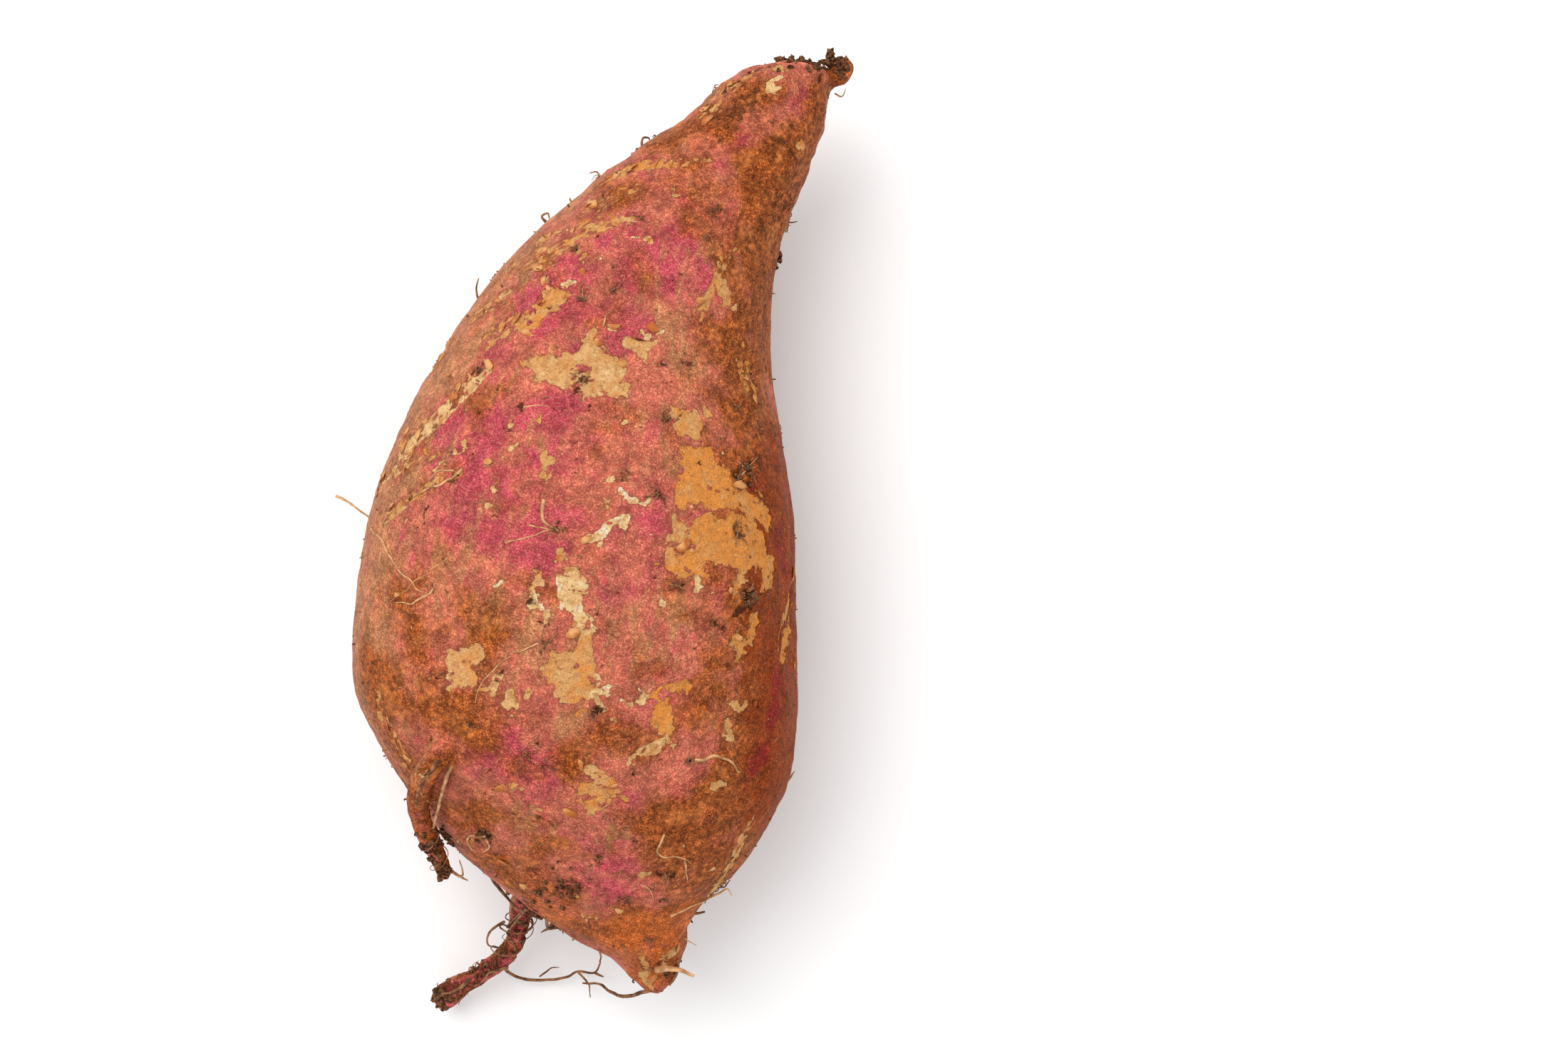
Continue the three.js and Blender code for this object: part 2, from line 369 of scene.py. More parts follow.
# %% The large flakes, chosen one by one
FLAKES = {
    "butterfly": (0.55, [
        (-16, 30.5, -11, 31, 2), (-14, 29, -10, 29, 2), (-6.5, 37, -6, 34, 1.5),
        (-8.5, 32.5, -3.5, 34, 2),
        (-3, 33.5, -1, 31.5, 1.5), (-5.5, 27.5, -1, 28.5, 1.5), (-1, 28, 2, 28, 1.5),
        (-6, 26, 0, 26.5, 1),
        (-9, 31, -8, 29.5, 1), (-4.5, 31, -2.5, 30, 1.5), (-13, 31, -8, 32.5, 1.5),
    ]),
    "kite": (0.55, [(1.5, 37.5, 4, 37.5, 1.5), (3.5, 36, 4.5, 35, 1)]),
    "kite_chips": (0.8, [(3.5, 40, 5, 39.5, 0.8), (5, 40, 8, 39.5, 0.4), (-3.5, 40, -2.5, 40, 0.6)]),
    "shoulder_scar": (0.35, [(-21, 36, -18, 37.5, 1), (-18, 38, -15, 42, 1.5), (-16, 43.5, -13.5, 44, 1.5)]),
    "shoulder_streaks": (0.5, [
        (-31, 36.5, -27, 40.5, 0.6), (-27, 40.5, -22.5, 44.5, 0.4), (-22, 51, -17, 53, 0.4),
        (-17.5, 49, -15, 50, 0.6), (-14, 57, -9.5, 58, 1), (-20.5, 55, -16, 56, 0.6),
        (-8.5, 56.5, -7, 56.5, 0.5), (-5.5, 60.5, -3.5, 60.5, 0.8), (-12, 52.5, -11, 51, 0.8),
    ]),
    "shoulder_chips": (0.95, [
        (-1.5, 57.5, 0.5, 57.5, 0.5), (-7, 52, -7, 51.5, 0.6), (-13.5, 46, -11.5, 47.5, 0.4),
        (-17, 47, -17, 46.5, 0.4), (-10.5, 49.5, -10.5, 49, 0.4), (-0.5, 56, 0, 56, 0.3),
    ]),
    "crown_chip": (0.9, [(17, 91.5, 19.5, 93.5, 1), (18, 90.5, 19, 91, 0.8)]),
    "crown_scrapes": (0.45, [(7.5, 85.5, 9.5, 87, 0.5), (10, 90, 12, 93, 0.6), (19, 95.5, 20.5, 95.5, 0.8)]),
    "neck_smears": (0.4, [(15, 56.5, 15, 54.5, 0.8), (14.5, 51.5, 17, 49, 1.5), (4, 66.5, 5, 66.5, 0.8)]),
    "side_field_top": (0.35, [(11, 26, 15.5, 25, 1), (13.5, 22.5, 15.5, 23.5, 2), (17, 27, 17.5, 26.5, 1)]),
    "side_field": (0.16, [
        (15, 17, 19, 18.5, 2), (16, 14.5, 22, 15.5, 2.5), (22, 15.5, 24, 14.5, 1.5),
        (16.5, 11.5, 19, 12, 2),
        (21.5, 11, 27, 12, 1.5), (27, 12, 31, 9.5, 2), (15.5, 9.5, 16.5, 9.5, 1), (21, 5, 30, 4.5, 3),
        (21, 2, 33, 1, 2.5), (25, 8, 29, 7.5, 1.5), (33, 1, 33.5, -3, 1.5), (15.5, -1, 20, -1.5, 1.5),
        (18, -3, 19, -3, 1), (21, -2, 22.5, -2.5, 1),
    ]),
    "side_lobe": (0.4, [(15.5, 6, 17, 5.5, 1.5), (15.5, 2.5, 17.5, 3.5, 1.5), (29, -1.5, 28, -4.5, 1)]),
    "white_chip": (1.0, [(20.5, -3.5, 21.5, -5.5, 1)]),
    "peel_at_pit": (0.9, [(15.5, -8.5, 17, -9.5, 0.5), (17, -9.5, 18, -9, 0.4)]),
    "chips_below": (0.6, [(22.5, -8, 23, -8.5, 0.6), (24, -6, 24.5, -6, 0.4), (2, 7, 2.5, 7, 0.6)]),
    "middle_chips": (0.85, [
        (2.5, 10.5, 3, 11, 0.8), (5, 9.5, 6, 9, 0.8), (7.5, 8.5, 9, 8, 0.8), (5, 4.5, 6.5, 4, 0.8),
        (0.5, -0.5, 4, 2, 1), (1, 22.5, 2, 22, 0.5),
    ]),
    "long_streak_top": (0.55, [(-4, -7, -1, -7, 1), (-4.5, -4, -3.5, -4, 1), (-8, -7.5, -8, -11, 1)]),
    "long_streak_bare": (0.85, [
        (-4, -8, 0, -8.5, 1), (-2.5, -9.5, 0.5, -13.5, 1.5), (0.5, -12.5, 2, -16.5, 1.5),
        (-7.5, -12, -7.5, -13, 0.8), (-5, -13.5, -5, -15.5, 0.8),
    ]),
    "long_streak_tail": (0.38, [
        (1.5, -16, 2.5, -19.5, 1.5), (2.5, -19.5, 4.5, -24, 1.5), (-2.5, -23, 1, -22.5, 1.5),
        (-1, -26, 4, -25, 2), (0.5, -28, 5, -27.5, 2), (1, -30, 5, -29.5, 1),
    ]),
    "broken_strip": (0.85, [
        (6.5, -27.5, 8, -30.5, 1), (6.5, -25, 9.5, -26.5, 0.6), (9.5, -26.5, 12.5, -28.5, 0.6),
        (12.5, -28.5, 14.5, -28, 0.6), (14.5, -28, 15, -26, 0.6),
    ]),
    "strip_end": (0.18, [
        (17.5, -25.5, 22, -23.5, 1), (19, -28.5, 19, -32, 1.5), (21.5, -23, 22.5, -24.5, 0.8),
    ]),
    "map": (0.42, [
        (-22, -25.5, -17, -24.5, 1.5), (-21, -27.5, -18, -27.5, 1.5), (-19.5, -29.5, -16.5, -29.5, 1.5),
        (-16, -30.5, -13, -30.5, 1),
    ]),
    "map_crumbs": (0.6, [
        (-12.5, -28.5, -11.5, -28, 1), (-9.5, -31, -9, -32, 1.5), (-9, -33, -9, -33.5, 0.6),
        (-14, -33, -13.5, -33.5, 0.6), (-5.5, -30, -5.5, -30.5, 0.6), (-21, -30.5, -21, -31, 0.6),
        (-25.5, -31, -24, -31, 0.6), (-16, -34.5, -15.5, -34.5, 0.4),
    ]),
    "left_streak_low": (0.25, [(-36.5, 0.5, -33, 2.5, 0.6), (-35, 3, -34, 5.5, 0.4)]),
    "left_chips": (0.65, [
        (-29.5, 9.5, -31, 8, 0.8), (-27, 11.5, -25.5, 12.5, 0.6), (-27, 14, -26, 14, 0.5),
        (-25, 14.5, -25, 13.5, 0.3), (-27, 20, -26, 20, 0.6), (-28, 21.5, -27.5, 22.5, 0.4),
        (-18, 20, -18, 19, 0.6), (-18.5, 14.5, -17, 14.5, 0.8), (-18.5, 13, -18.5, 12.5, 0.5),
        (-20.5, 10, -20, 9.5, 0.5), (-18.5, 6, -18, 6.5, 0.6), (-20, 5, -20, 4.5, 0.4),
        (-19, 3, -18.5, 2.5, 0.6),
        (-35, -2, -35, -3.5, 0.4),
    ]),
    "left_oval": (0.5, [(-10.5, 13, -9.5, 12.5, 1), (-10, 10.5, -9.5, 10, 1)]),
    "left_specks": (0.95, [(-15, -11, -15, -12, 0.5), (-20.5, -12, -20.5, -12.5, 0.4)]),
    "low_left_edge": (0.35, [
        (-36, -21, -34, -19.5, 0.5), (-34.5, -36, -33.5, -40, 0.6), (-15.5, -60, -14.5, -60.5, 1),
    ]),
    "low_left": (0.45, [(-7, -48, -5, -49, 0.8), (-2.5, -51, 0, -52, 0.6)]),
    "arrow": (0.38, [
        (6.5, -42, 11.5, -43.5, 1), (7, -46, 9, -46, 2), (9, -48, 9, -49.5, 1),
        (11, -46.5, 15, -45.5, 0.6),
    ]),
    "boat": (0.55, [(16.5, -36, 21.5, -35, 1), (18.5, -34.5, 21, -34.5, 0.8)]),
    "right_tan": (0.2, [
        (32.5, -10, 32.5, -12, 2), (30, -14, 31, -15, 1.5), (31, -17, 31, -19, 0.8),
        (39.5, -11, 39.5, -16, 1.5),
    ]),
    "mould": (0.5, [(31.5, -26, 33, -26, 1), (31, -30, 32, -32, 1), (30.5, -42, 31.5, -41.5, 1)]),
    "low_chips": (0.55, [
        (12.5, -54, 13, -54, 0.6), (15, -61, 16, -60.5, 0.3), (18.5, -61, 21, -60.5, 0.4),
        (15.5, -68.5, 16, -69, 0.6), (15, -38.5, 15.5, -39.5, 1), (9.5, -32.5, 10, -32, 0.6),
        (10.5, -72.5, 13, -72, 0.6), (28, -77, 28.5, -78.5, 1),
    ]),
    "root_scar": (0.6, [(-22.5, -49, -23, -50.5, 0.6)]),
    "tail_tip": (0.5, [(22.5, -81.5, 25, -86, 0.8), (26.5, -78, 27, -79.5, 0.6)]),
    "low_right_edge": (0.55, [(37, -53.5, 35.5, -59, 1), (34.5, -62, 33, -64.5, 1)]),
}


print(len(FLAKES), "large flakes")

# %% [markdown]
# On the shoulders, the neck and the flanks the skin has torn in threads. Drawing each thread by hand would be
# slow and look combed. A bundle is given by its line instead, and a seed scatters thin bars along it.


# %% Bundles of torn fibres
def hand_bars(rows):
    return [bar(*row) for row in rows]


def fibres(x0, y0, x1, y1, spread, count):
    """Many thin bars side by side, as torn fibres lie. spread is half the width of the bundle."""
    along = Vector((x1 - x0, y1 - y0))
    across = Vector((-along.y, along.x)).normalized()
    made = []
    for _ in range(count):
        middle = Vector((x0, y0)) + along * fibre_draw.uniform(0, 1)
        middle += across * fibre_draw.gauss(0, 0.55 * spread)
        half = along * fibre_draw.uniform(0.12, 0.4)
        made.append(bar(*(middle - half), *(middle + half), fibre_draw.uniform(0.1, 0.33)))
    return made


fibre_draw = random.Random(5)
FIBRES = [  # how pale, then the line of the bundle, its half width and how many fibres
    (0.7, -42, 4, -36, 14.5, 1.5, 26), (0.75, -38.5, 10, -27.5, 25, 1.5, 36),
    (0.5, -42, 2, -33, 10, 1, 8), (0.55, -40, -4, -36, 0, 1, 10), (0.35, -37, -0.5, -31.5, 4, 1, 16),
    (0.3, -31, 4, -25, 7.5, 1, 10), (0.5, -31.5, 36, -22, 45, 1, 16), (0.4, -24, 34, -13, 45, 2, 20),
    (0.4, -24, 48, -15, 54, 1.5, 14), (0.35, -15, 54, -5, 61, 2, 14), (0.3, -10, 68.5, -2, 72, 1, 18),
    (0.3, -2, 72, 8, 74.5, 1, 18), (0.25, -14, 60, -4, 67, 1.5, 12), (0.45, 6, 84, 13, 93.5, 1, 18),
    (0.6, 37.5, -51, 33, -65, 1, 18), (0.35, 13, 45, 16, 57, 1, 10), (0.2, 24, 15, 31.5, 9, 2, 16),
    (0.2, 22, 40, 27, 28, 2, 16), (0.3, 38, 4, 39, -16, 1, 12), (0.3, -33, -38, -27, -48, 1, 8),
    (0.4, 22, -79.5, 25, -86, 1, 12), (0.3, 9, 90, 16, 95.5, 1, 10), (0.3, 16, 2, 32, 3, 3, 16),
    (0.3, 15, 16, 24, 15, 2, 12),
]


patches = [(pale, hand_bars(rows)) for pale, rows in FLAKES.values()]
fibre_patches = [(row[0], fibres(*row[1:])) for row in FIBRES]
print(len(patches), "flakes laid by hand")

# %% [markdown]
# The sides and the belly flake too. Nobody chose those patches, so they are grown by a seeded draw: each
# wanders over the skin a few steps from where it starts. Tiny flecks are drawn all over in the same way.

# %% Flakes and flecks drawn by a seed
draw = random.Random(11)


def wander(count, steps, size, step_length, wanted):
    """Patches of a few bars each, started on points of the skin that are wanted."""
    starts = np.flatnonzero(wanted)
    made = []
    for _ in range(count):
        spot = points[draw.choice(starts)]
        bars = []
        for _ in range(draw.randint(*steps)):
            way = Vector([draw.uniform(-1, 1) for _ in range(3)]).normalized()
            way = way * step_length * draw.uniform(0.5, 1)
            after, _ = nearest_skin(Vector(spot) + way)
            bars.append((spot, after, size * draw.uniform(0.6, 1.3)))
            spot = after
        made.append((draw.choice((0.15, 0.3, 0.45, 0.6, 0.85)), bars))
    return made


hidden = (normals[:, 2] < 0.2) & (points[:, 2] > 2)
patches += wander(26, (3, 6), 1.5, 3.6, hidden)
patches += wander(70, (1, 2), 0.5, 1.6, hidden)
patches += wander(110, (1, 1), 0.28, 0.8, normals[:, 2] > 0)

flake_edge = np.full(len(points), FAR)
paleness = np.zeros(len(points))
torn = np.ones(len(points))
straighter = points + 0.25 * shake
for kind, places, tear in ((patches, warped, 1), (fibre_patches, straighter, 0.35)):
    for pale, bars in kind:
        away = how_far(bars, places)
        closer = away < flake_edge
        flake_edge[closer] = away[closer]
        paleness[closer] = pale
        torn[closer] = tear
print(len(patches), "flakes and flecks;", round(100 * (flake_edge < 0).mean(), 1), "% of the skin is bare")

# %% [markdown]
# ## Eyes, cracks and stains
# Eyes are the little pits that rootlets and shoots grow from. Each is a dimple with a raised rim and a dark
# crusty middle. Cracks are thin dark lines, and stains are soft fields of colour with no edge.

# %% Eyes and cracks
EYES = [  # right, towards the crown, radius in mm, how dark its crust is
    (-6.5, 29.5, 1.5, 0.8), (-4, 46.5, 1.5, 0.5), (10, 24.5, 1.5, 0.9), (-27, 7, 2, 0.5),
    (-27, -14, 1.5, 0.2), (-5.5, 1, 1.5, 0.7), (4.5, 12.5, 1.5, 0.4), (11.5, 10, 1.5, 0.9),
    (27, 6, 1.5, 0.9), (26.5, 18.5, 1.5, 0.8), (30.5, -6, 1.5, 1), (17.5, -5.5, 1, 0.8),
    (-4, -41, 1, 0.2), (-0.5, -43, 1.5, 0.3), (-10.5, -59, 1.5, 0.8), (16, -41, 1.5, 0.2),
    (25.5, -37, 1, 0.3), (11.5, -59, 1.5, 0.4), (17.5, -66.5, 1.5, 0.4), (24, -66, 1, 0.2),
    (24.5, -60.5, 1, 0.6), (-27, 27.5, 1.5, 0.7), (-2, 61, 1, 0.4), (6.5, -31, 1, 0.5),
    (25, -11, 1, 0.5), (12.5, 65.5, 1, 0.7), (11.5, 60, 1, 0.5), (23, -75, 1, 0.4), (18, -76.5, 1, 0.3),
    (-4.5, -20.5, 1, 0.5), (-23, -30, 1, 0.3), (-13, 53, 1, 0.4), (22, 29, 1, 0.3),
    (24.5, 36, 1.5, 0.3), (7, 34, 0.5, 0.1), (-9, 43.5, 0.5, 0.9), (25, -81, 1, 0.9),
    (-15.5, -37.5, 1.5, 0.5),
]
CRACKS = [  # as bars
    (-12.5, 43, -9.5, 45.5, 0.5), (-16, 41, -14, 42, 0.25), (-29, 25.5, -26.5, 29, 0.4),
    (-37, 0.5, -32, 3.5, 0.3), (-32, 3.5, -28.5, 5.5, 0.3), (5, 83.5, 9, 89, 0.5),
    (9, 89, 13, 94.5, 0.6), (13, 94.5, 20, 97.5, 0.8), (20, 97.5, 26.5, 98, 1), (26.5, 95, 27, 98, 0.6),
    (9, 84, 10.5, 83.5, 0.3), (23.5, 17, 28, 13, 0.25), (24.5, -11, 27.5, -12.5, 0.4),
    (-4.5, -50, 0, -53, 0.3), (31, -4, 30.5, -7.5, 1), (30.5, -7.5, 28.5, -8.5, 1),
    (17.5, -5, 17.5, -6.5, 0.6), (-9, -13, -8, -12.5, 0.5), (-6.5, -16, -4.5, -16, 0.4),
    (-19, 17.5, -17.5, 17.5, 0.6), (-18, 1, -17, 1, 0.5), (6, -31, 8, -31, 0.6),
    (26.5, 44, 27.5, 49, 0.5), (-18, 13.5, -17, 14, 0.3), (22.5, -60.5, 26, -60.5, 0.4),
    (2, 39, 3.5, 39, 0.4), (-12.5, 22, -6.5, 23.5, 0.2), (-15, 38.5, -11, 39.5, 0.2),
    (-15.5, 36.5, -11.5, 35.5, 0.2),
]

print(len(EYES), "eyes and", len(CRACKS), "bars of cracks")

# %% [markdown]
# The hidden sides have eyes too, so a few dozen more are drawn there by the seed. Short scratches are drawn
# all over the back, most of them across the root. Cracks and scratches become one distance, to the nearest
# dark line.

# %% More eyes, and scratches
eyes = [(on_skin(x, y)[0], radius, darkness) for x, y, radius, darkness in EYES]
hidden_points = np.flatnonzero(hidden)
for _ in range(34):
    spot = points[draw.choice(hidden_points)].copy()
    eyes.append((spot, draw.uniform(0.8, 1.8), draw.uniform(0.1, 0.9)))
scratches = []
for _ in range(110):
    x, y = draw.uniform(-40, 38), draw.uniform(-84, 92)
    length = draw.uniform(0.4, 1.6)
    turn = math.radians(draw.gauss(12, 25))
    dx, dy = length * math.cos(turn), length * math.sin(turn)
    scratches.append((x - dx, y - dy, x + dx, y + dy, draw.uniform(0.14, 0.3)))
crack_edge = how_far(hand_bars(CRACKS + scratches))
print(len(eyes), "eyes and", len(scratches), "scratches")

# %% [markdown]
# ## Relief
# The height of each point is a sum, in mm: slow swells, pebbles, ridges near both ends, pits and rims at the
# eyes, grooves along the cracks and a small step down into each flake. Noise keeps the step's edge ragged.

# %% Relief
rise = 0.7 * grain(22, 21) + 0.32 * grain(7, 22) + 0.09 * grain(2, 23)
rise += 0.14 * grain(2.4, 24, stretch=(1, 0.22, 1)) + 0.1 * grain(5, 25, stretch=(0.4, 1, 0.4))
root_two = ease(-points[:, 0], -3, 1) * ease(-points[:, 1], 68, 74)
rise += 0.45 * root_two * grain(4, 29)
ends = np.maximum(ease(points[:, 1], 52, 80), ease(-points[:, 1], 58, 82))
rise += ends * (0.4 * grain(4, 28, stretch=(0.35, 1.5, 0.6)) + 0.16 * grain(1.9, 30, stretch=(0.3, 1.3, 0.6)))
crust = np.zeros(len(points))
for spot, radius, darkness in eyes:
    away = np.linalg.norm(points + 0.5 * shake - spot, axis=1)
    rise -= 0.45 * radius * bell(away, radius)
    rise += 0.16 * radius * bell(away - 1.6 * radius, 0.6 * radius)
    crust = np.maximum(crust, (0.25 + 0.75 * darkness) * bell(away, 1.1 * radius))
rise -= 0.35 * ease(-crack_edge, -0.3, 0.15)
ragged_edge = flake_edge + 0.3 * torn * grain(0.9, 26)
rise -= 0.24 * ease(-ragged_edge, -0.15, 0.25)
rise += 0.14 * bell(ragged_edge - 0.45, 0.4)
rise += crust * 0.35 * grain(0.8, 27)
print("deepest", round(rise.min(), 2), "mm, highest", round(rise.max(), 2), "mm")

# %% [markdown]
# ## Soft fields of colour
# The red of the skin is full in some places and rubbed away in others, and soil stains it brown towards the
# ends. Some fields are partly painted shade and light: dark fields paint shade on the right flank, and an
# amber field paints the tail brighter. These fields have no edge, so each is a set of round spots that fade
# outwards.
# The strongest spot wins at each point. The noise in the finish breaks the fields up, so the spots never show
# as rounds.

# %% Soft fields of colour
BLUSH = [  # right, towards the crown, reach in mm, strength: where the red skin is fullest
    (-25, 8, 12, 0.8), (-13, 14, 10, 0.6), (-12, -2, 9, 0.6), (-32, -3, 8, 0.6), (-14, 44, 11, 0.75),
    (2, 50, 11, 0.8), (-24, 34, 8, 0.5), (8, 0, 8, 0.35), (-3, 20, 8, 0.45), (-28, 22, 8, 0.6),
    (-2, 60, 6, 0.6), (-8, -40, 9, 0.55), (14, -52, 8, 0.4), (26, -45, 7, 0.35), (10, -66, 7, 0.4),
    (-19, 40, 9, 0.7), (-6, 44, 8, 0.6), (-10, 33, 7, 0.5), (4, 30, 6, 0.3), (-34, 12, 7, 0.6),
    (24, -72, 5, 0.4), (16, -82, 5, 0.4), (6, -10, 6, 0.4), (14, 4, 5, 0.4), (4.5, 56, 6, 1),
    (10, 54, 4.5, 0.9), (0.5, 53, 4, 0.7), (-7, 55, 4, 0.6), (-8, 50, 4, 0.5), (-21.5, 18, 3.5, 1),
    (-21.5, 11.5, 3.5, 1), (-13, 8, 5, 0.7), (-17, 24, 4, 0.6), (-9, 23, 4, 0.5), (-30, -3, 5, 0.5),
    (-24, -4, 4, 0.6), (-22, -8, 3, 0.6), (-6, -4, 4, 0.6), (-10, -6, 4, 0.5), (-18.5, -38.5, 3, 0.5),
    (-13, -41.5, 4, 0.7), (-9, -43.5, 4.5, 0.9), (-4, -44.5, 4, 0.7), (15.5, 79.5, 2.2, 0.8),
    (10.5, 74, 2.2, 0.8), (6.5, 66, 2.2, 0.8), (25, 91.5, 1.5, 0.5), (20, 7.5, 2.5, 0.8),
    (24.5, -4, 3, 0.9), (21, 12.8, 1.5, 0.7), (35, -51.5, 3, 0.8), (15, -48, 3.5, 0.5),
    (3, -54, 3, 0.4), (14, -64.5, 3, 0.5), (22, -69, 3, 0.5), (-29, 34, 4, 0.6), (-20, 45, 5, 0.5),
]
AMBER_AND_LIT_TAIL = [  # where the brown stain turns amber; at the tail it is also painted light, to brighten it
    (20, -78, 7, 0.8), (24, -84, 5, 0.8), (13, -82, 6, 0.6), (28, -72, 7, 1), (22, -72, 7, 0.8),
    (14, -90, 5, 0.5), (26, 8, 8, 0.5), (20, 14, 7, 0.4), (22, -26, 5, 0.4), (5, -72, 6, 0.5),
    (26, 50, 5, 0.4),
]
CRIMSON_SHADE_BARS = [  # as bars: where the right flank is painted dark crimson, as painted shade
    (33.5, 7, 34.5, 4, 1.3), (34.5, 4, 37, 0, 1.3), (39, -20, 39, -29, 1.7),
    (38.5, -34, 37.5, -37, 1.9), (27.5, 12, 28.5, 16, 1),
]
DUST = [  # pale tan dust rubbed into the skin
    (-16, -18, 9, 0.6), (-8, -22, 8, 0.5), (10, -16, 7, 0.5), (-24, -9, 7, 0.55), (-20, 3, 5, 0.4),
    (6, 22, 6, 0.5), (-30, -14, 8, 0.6), (8, 41, 5, 0.8), (12, 35, 5, 0.6), (3, 46, 4, 0.5),
    (-12, 17, 4, 0.5), (2, -34.5, 4, 0.8), (-3, -54, 4.5, 0.7), (-10, -50, 4, 0.4), (18, -10, 6, 0.6),
    (8, -6, 6, 0.4), (14, -17, 5, 0.6), (14.5, 53, 3, 0.7), (12, 57, 3, 0.5), (31, -29, 3.5, 0.7),
    (30, -41, 3, 0.6), (-39, 8, 4, 0.6), (-36, 20, 4, 0.6), (-30, 31, 4, 0.6), (-38, -20, 6, 0.4),
    (-22, 24, 4, 0.4), (-24, 1, 5, 0.4), (1, 77, 4, 0.5), (-8, 70, 4, 0.6), (33, -63, 3, 0.6),
    (14, -54, 4, 0.5), (9, 17, 5, 0.5),
]
BROWN = [  # orange-brown soil stain
    (-30, -22, 10, 0.6), (-16, -18, 8, 0.5), (-34, -34, 10, 0.8), (-22, -36, 9, 0.6),
    (-28, -48, 8, 0.9), (-14, -56, 6, 0.7), (28, -20, 9, 0.6), (33, -42, 9, 0.8), (30, -58, 9, 0.9),
    (20, -72, 9, 0.55), (23, -84, 7, 0.5), (10, -76, 8, 0.5), (22, 32, 7, 0.9), (28, 22, 6, 1),
    (23, 46, 7, 1), (22, 60, 8, 1), (20, 72, 9, 1), (26, 84, 9, 1), (16, 90, 7, 1), (8, 82, 9, 0.9),
    (0, 78, 8, 0.8), (10, 66, 6, 0.6), (-8, 66, 6, 0.6), (-18, 50, 4, 0.5), (-6, -66, 7, 0.8),
    (30, 98, 5, 1), (13, -32, 7, 0.4), (24, -50, 7, 0.6), (-21, -47, 4, 0.7), (-24, -53, 4, 0.8),
    (-22, -60, 4, 0.9), (2, 24, 4, 0.2), (5, -42, 6, 0.4),
]
SOIL_AND_SHADE = [  # crusts of soil; the first four rows, on the right edge, are painted shade
    (40, -4, 4, 0.5), (41.5, -24, 5, 0.5), (39.5, -40, 5, 0.5), (36, 10, 4, 0.5), (30, 26, 4, 0.6),
    (13, 86, 5, 0.75), (22, 82, 6, 0.6), (24, 70, 6, 0.6), (18, 62, 5, 0.5), (10, 78, 5, 0.4),
    (27, 90, 4, 0.5), (3, 80, 4, 0.35), (26, 24, 3, 0.5), (2, -67.5, 4, 0.6), (7, -67, 4, 0.6),
    (11, -64, 3, 0.5), (11.5, -59, 2, 0.5), (0, -64, 4, 0.4), (-22, -23, 2, 0.4), (-30, -27, 2, 0.5),
    (15.5, 89.5, 2.2, 0.7), (25, 99, 3.5, 0.9), (29, 98.5, 2, 0.7), (28, 20, 3, 0.6),
    (2, -53.5, 1.5, 0.4), (-10, -62, 3, 0.6), (-18, -68, 3, 0.7), (-4, -77, 3, 0.6), (-17, -99, 3, 0.7),
    (11, 87, 2.5, 0.4), (21, 75, 3, 0.4), (24, 64, 3, 0.4),
]

print(sum(len(rows) for rows in (BLUSH, AMBER_AND_LIT_TAIL, DUST, BROWN, SOIL_AND_SHADE)), "soft spots")

# %% [markdown]
# The spots are now turned into one number per point. Few were chosen for the flanks and none for the
# underside, so those go mostly by the way the skin faces: pale dust to the left, brown and soil to the right.
# On the right flank the brown and soil are partly painted shade, to darken it.


# %% Fields on every point
def field(rows):
    """The strongest of several soft round spots at each point of the skin."""
    strongest = np.zeros(len(points))
    for x, y, reach, strength in rows:
        away = np.linalg.norm(points + 1.2 * shake - on_skin(x, y)[0], axis=1)
        strongest = np.maximum(strongest, strength * bell(away, reach))
    return strongest


right_side = ease(normals[:, 0], 0.25, 0.85)
left_side = ease(-normals[:, 0], 0.45, 0.9)
under = ease(-normals[:, 2], -0.3, 0.5)
blush = np.maximum(field(BLUSH), 0.8 * root_two) + 0.4 * ease(grain(13, 31), 0.05, 0.5)
dust = np.maximum(field(DUST), 0.85 * left_side) + 0.22 * ease(grain(9, 32), 0.05, 0.5)
# On the right-facing flank the brown is partly painted shade, to darken that side.
brown_and_shade = np.maximum.reduce([field(BROWN), right_side * (0.8 + 0.5 * grain(7, 37)), 0.8 * under])
brown_and_shade *= 1 - 0.4 * root_two
brown_and_shade = brown_and_shade * (1 - 0.45 * field(BLUSH)) + 0.3 * grain(10, 36) + 0.08 + 0.2 * ease(-points[:, 1], 10, 50)
soil_and_shade = np.maximum(field(SOIL_AND_SHADE), 0.7 * ease(-normals[:, 2], 0.6, 1) * ease(grain(8, 33), -0.1, 0.4))
# Painted shade: the right-facing flank always gets some soil colour, to darken it.
soil_and_shade = np.maximum(soil_and_shade, 0.3 * right_side)
soil_and_shade = np.maximum(soil_and_shade, 0.72 * root_two * ease(grain(3, 34), -0.3, 0.15))
# Painted shade: dark crimson bars along the right flank.
crimson_shade = 0.8 * ease(-(how_far(hand_bars(CRIMSON_SHADE_BARS)) + 1.2 * grain(3, 35)), -1.6, 1.2)
# Partly painted light: the amber field brightens the tail.
amber_and_lit_tail = field(AMBER_AND_LIT_TAIL)
# Painted shade: a dark orange-brown on the right-facing flank, full from 40 mm below the middle to 10 mm
# above it.
right_flank_shade = 1.3 * ease(normals[:, 0], 0.6, 0.95) * ease(points[:, 1], -60, -40) * ease(-points[:, 1], -40, -10)
print("mean blush", round(blush.mean(), 2), "dust", round(dust.mean(), 2), "brown_and_shade", round(brown_and_shade.mean(), 2))

# %% [markdown]
# ## Pressing it all into the mesh
# Every point now moves in or out by its relief, so pits, cracks and flakes are real shape, not only shading.
# The fields are stored on the points as named numbers, for the finish to read. The tree for finding places is
# then made again, so that what is laid on the skin from here on sits on its pressed surface.

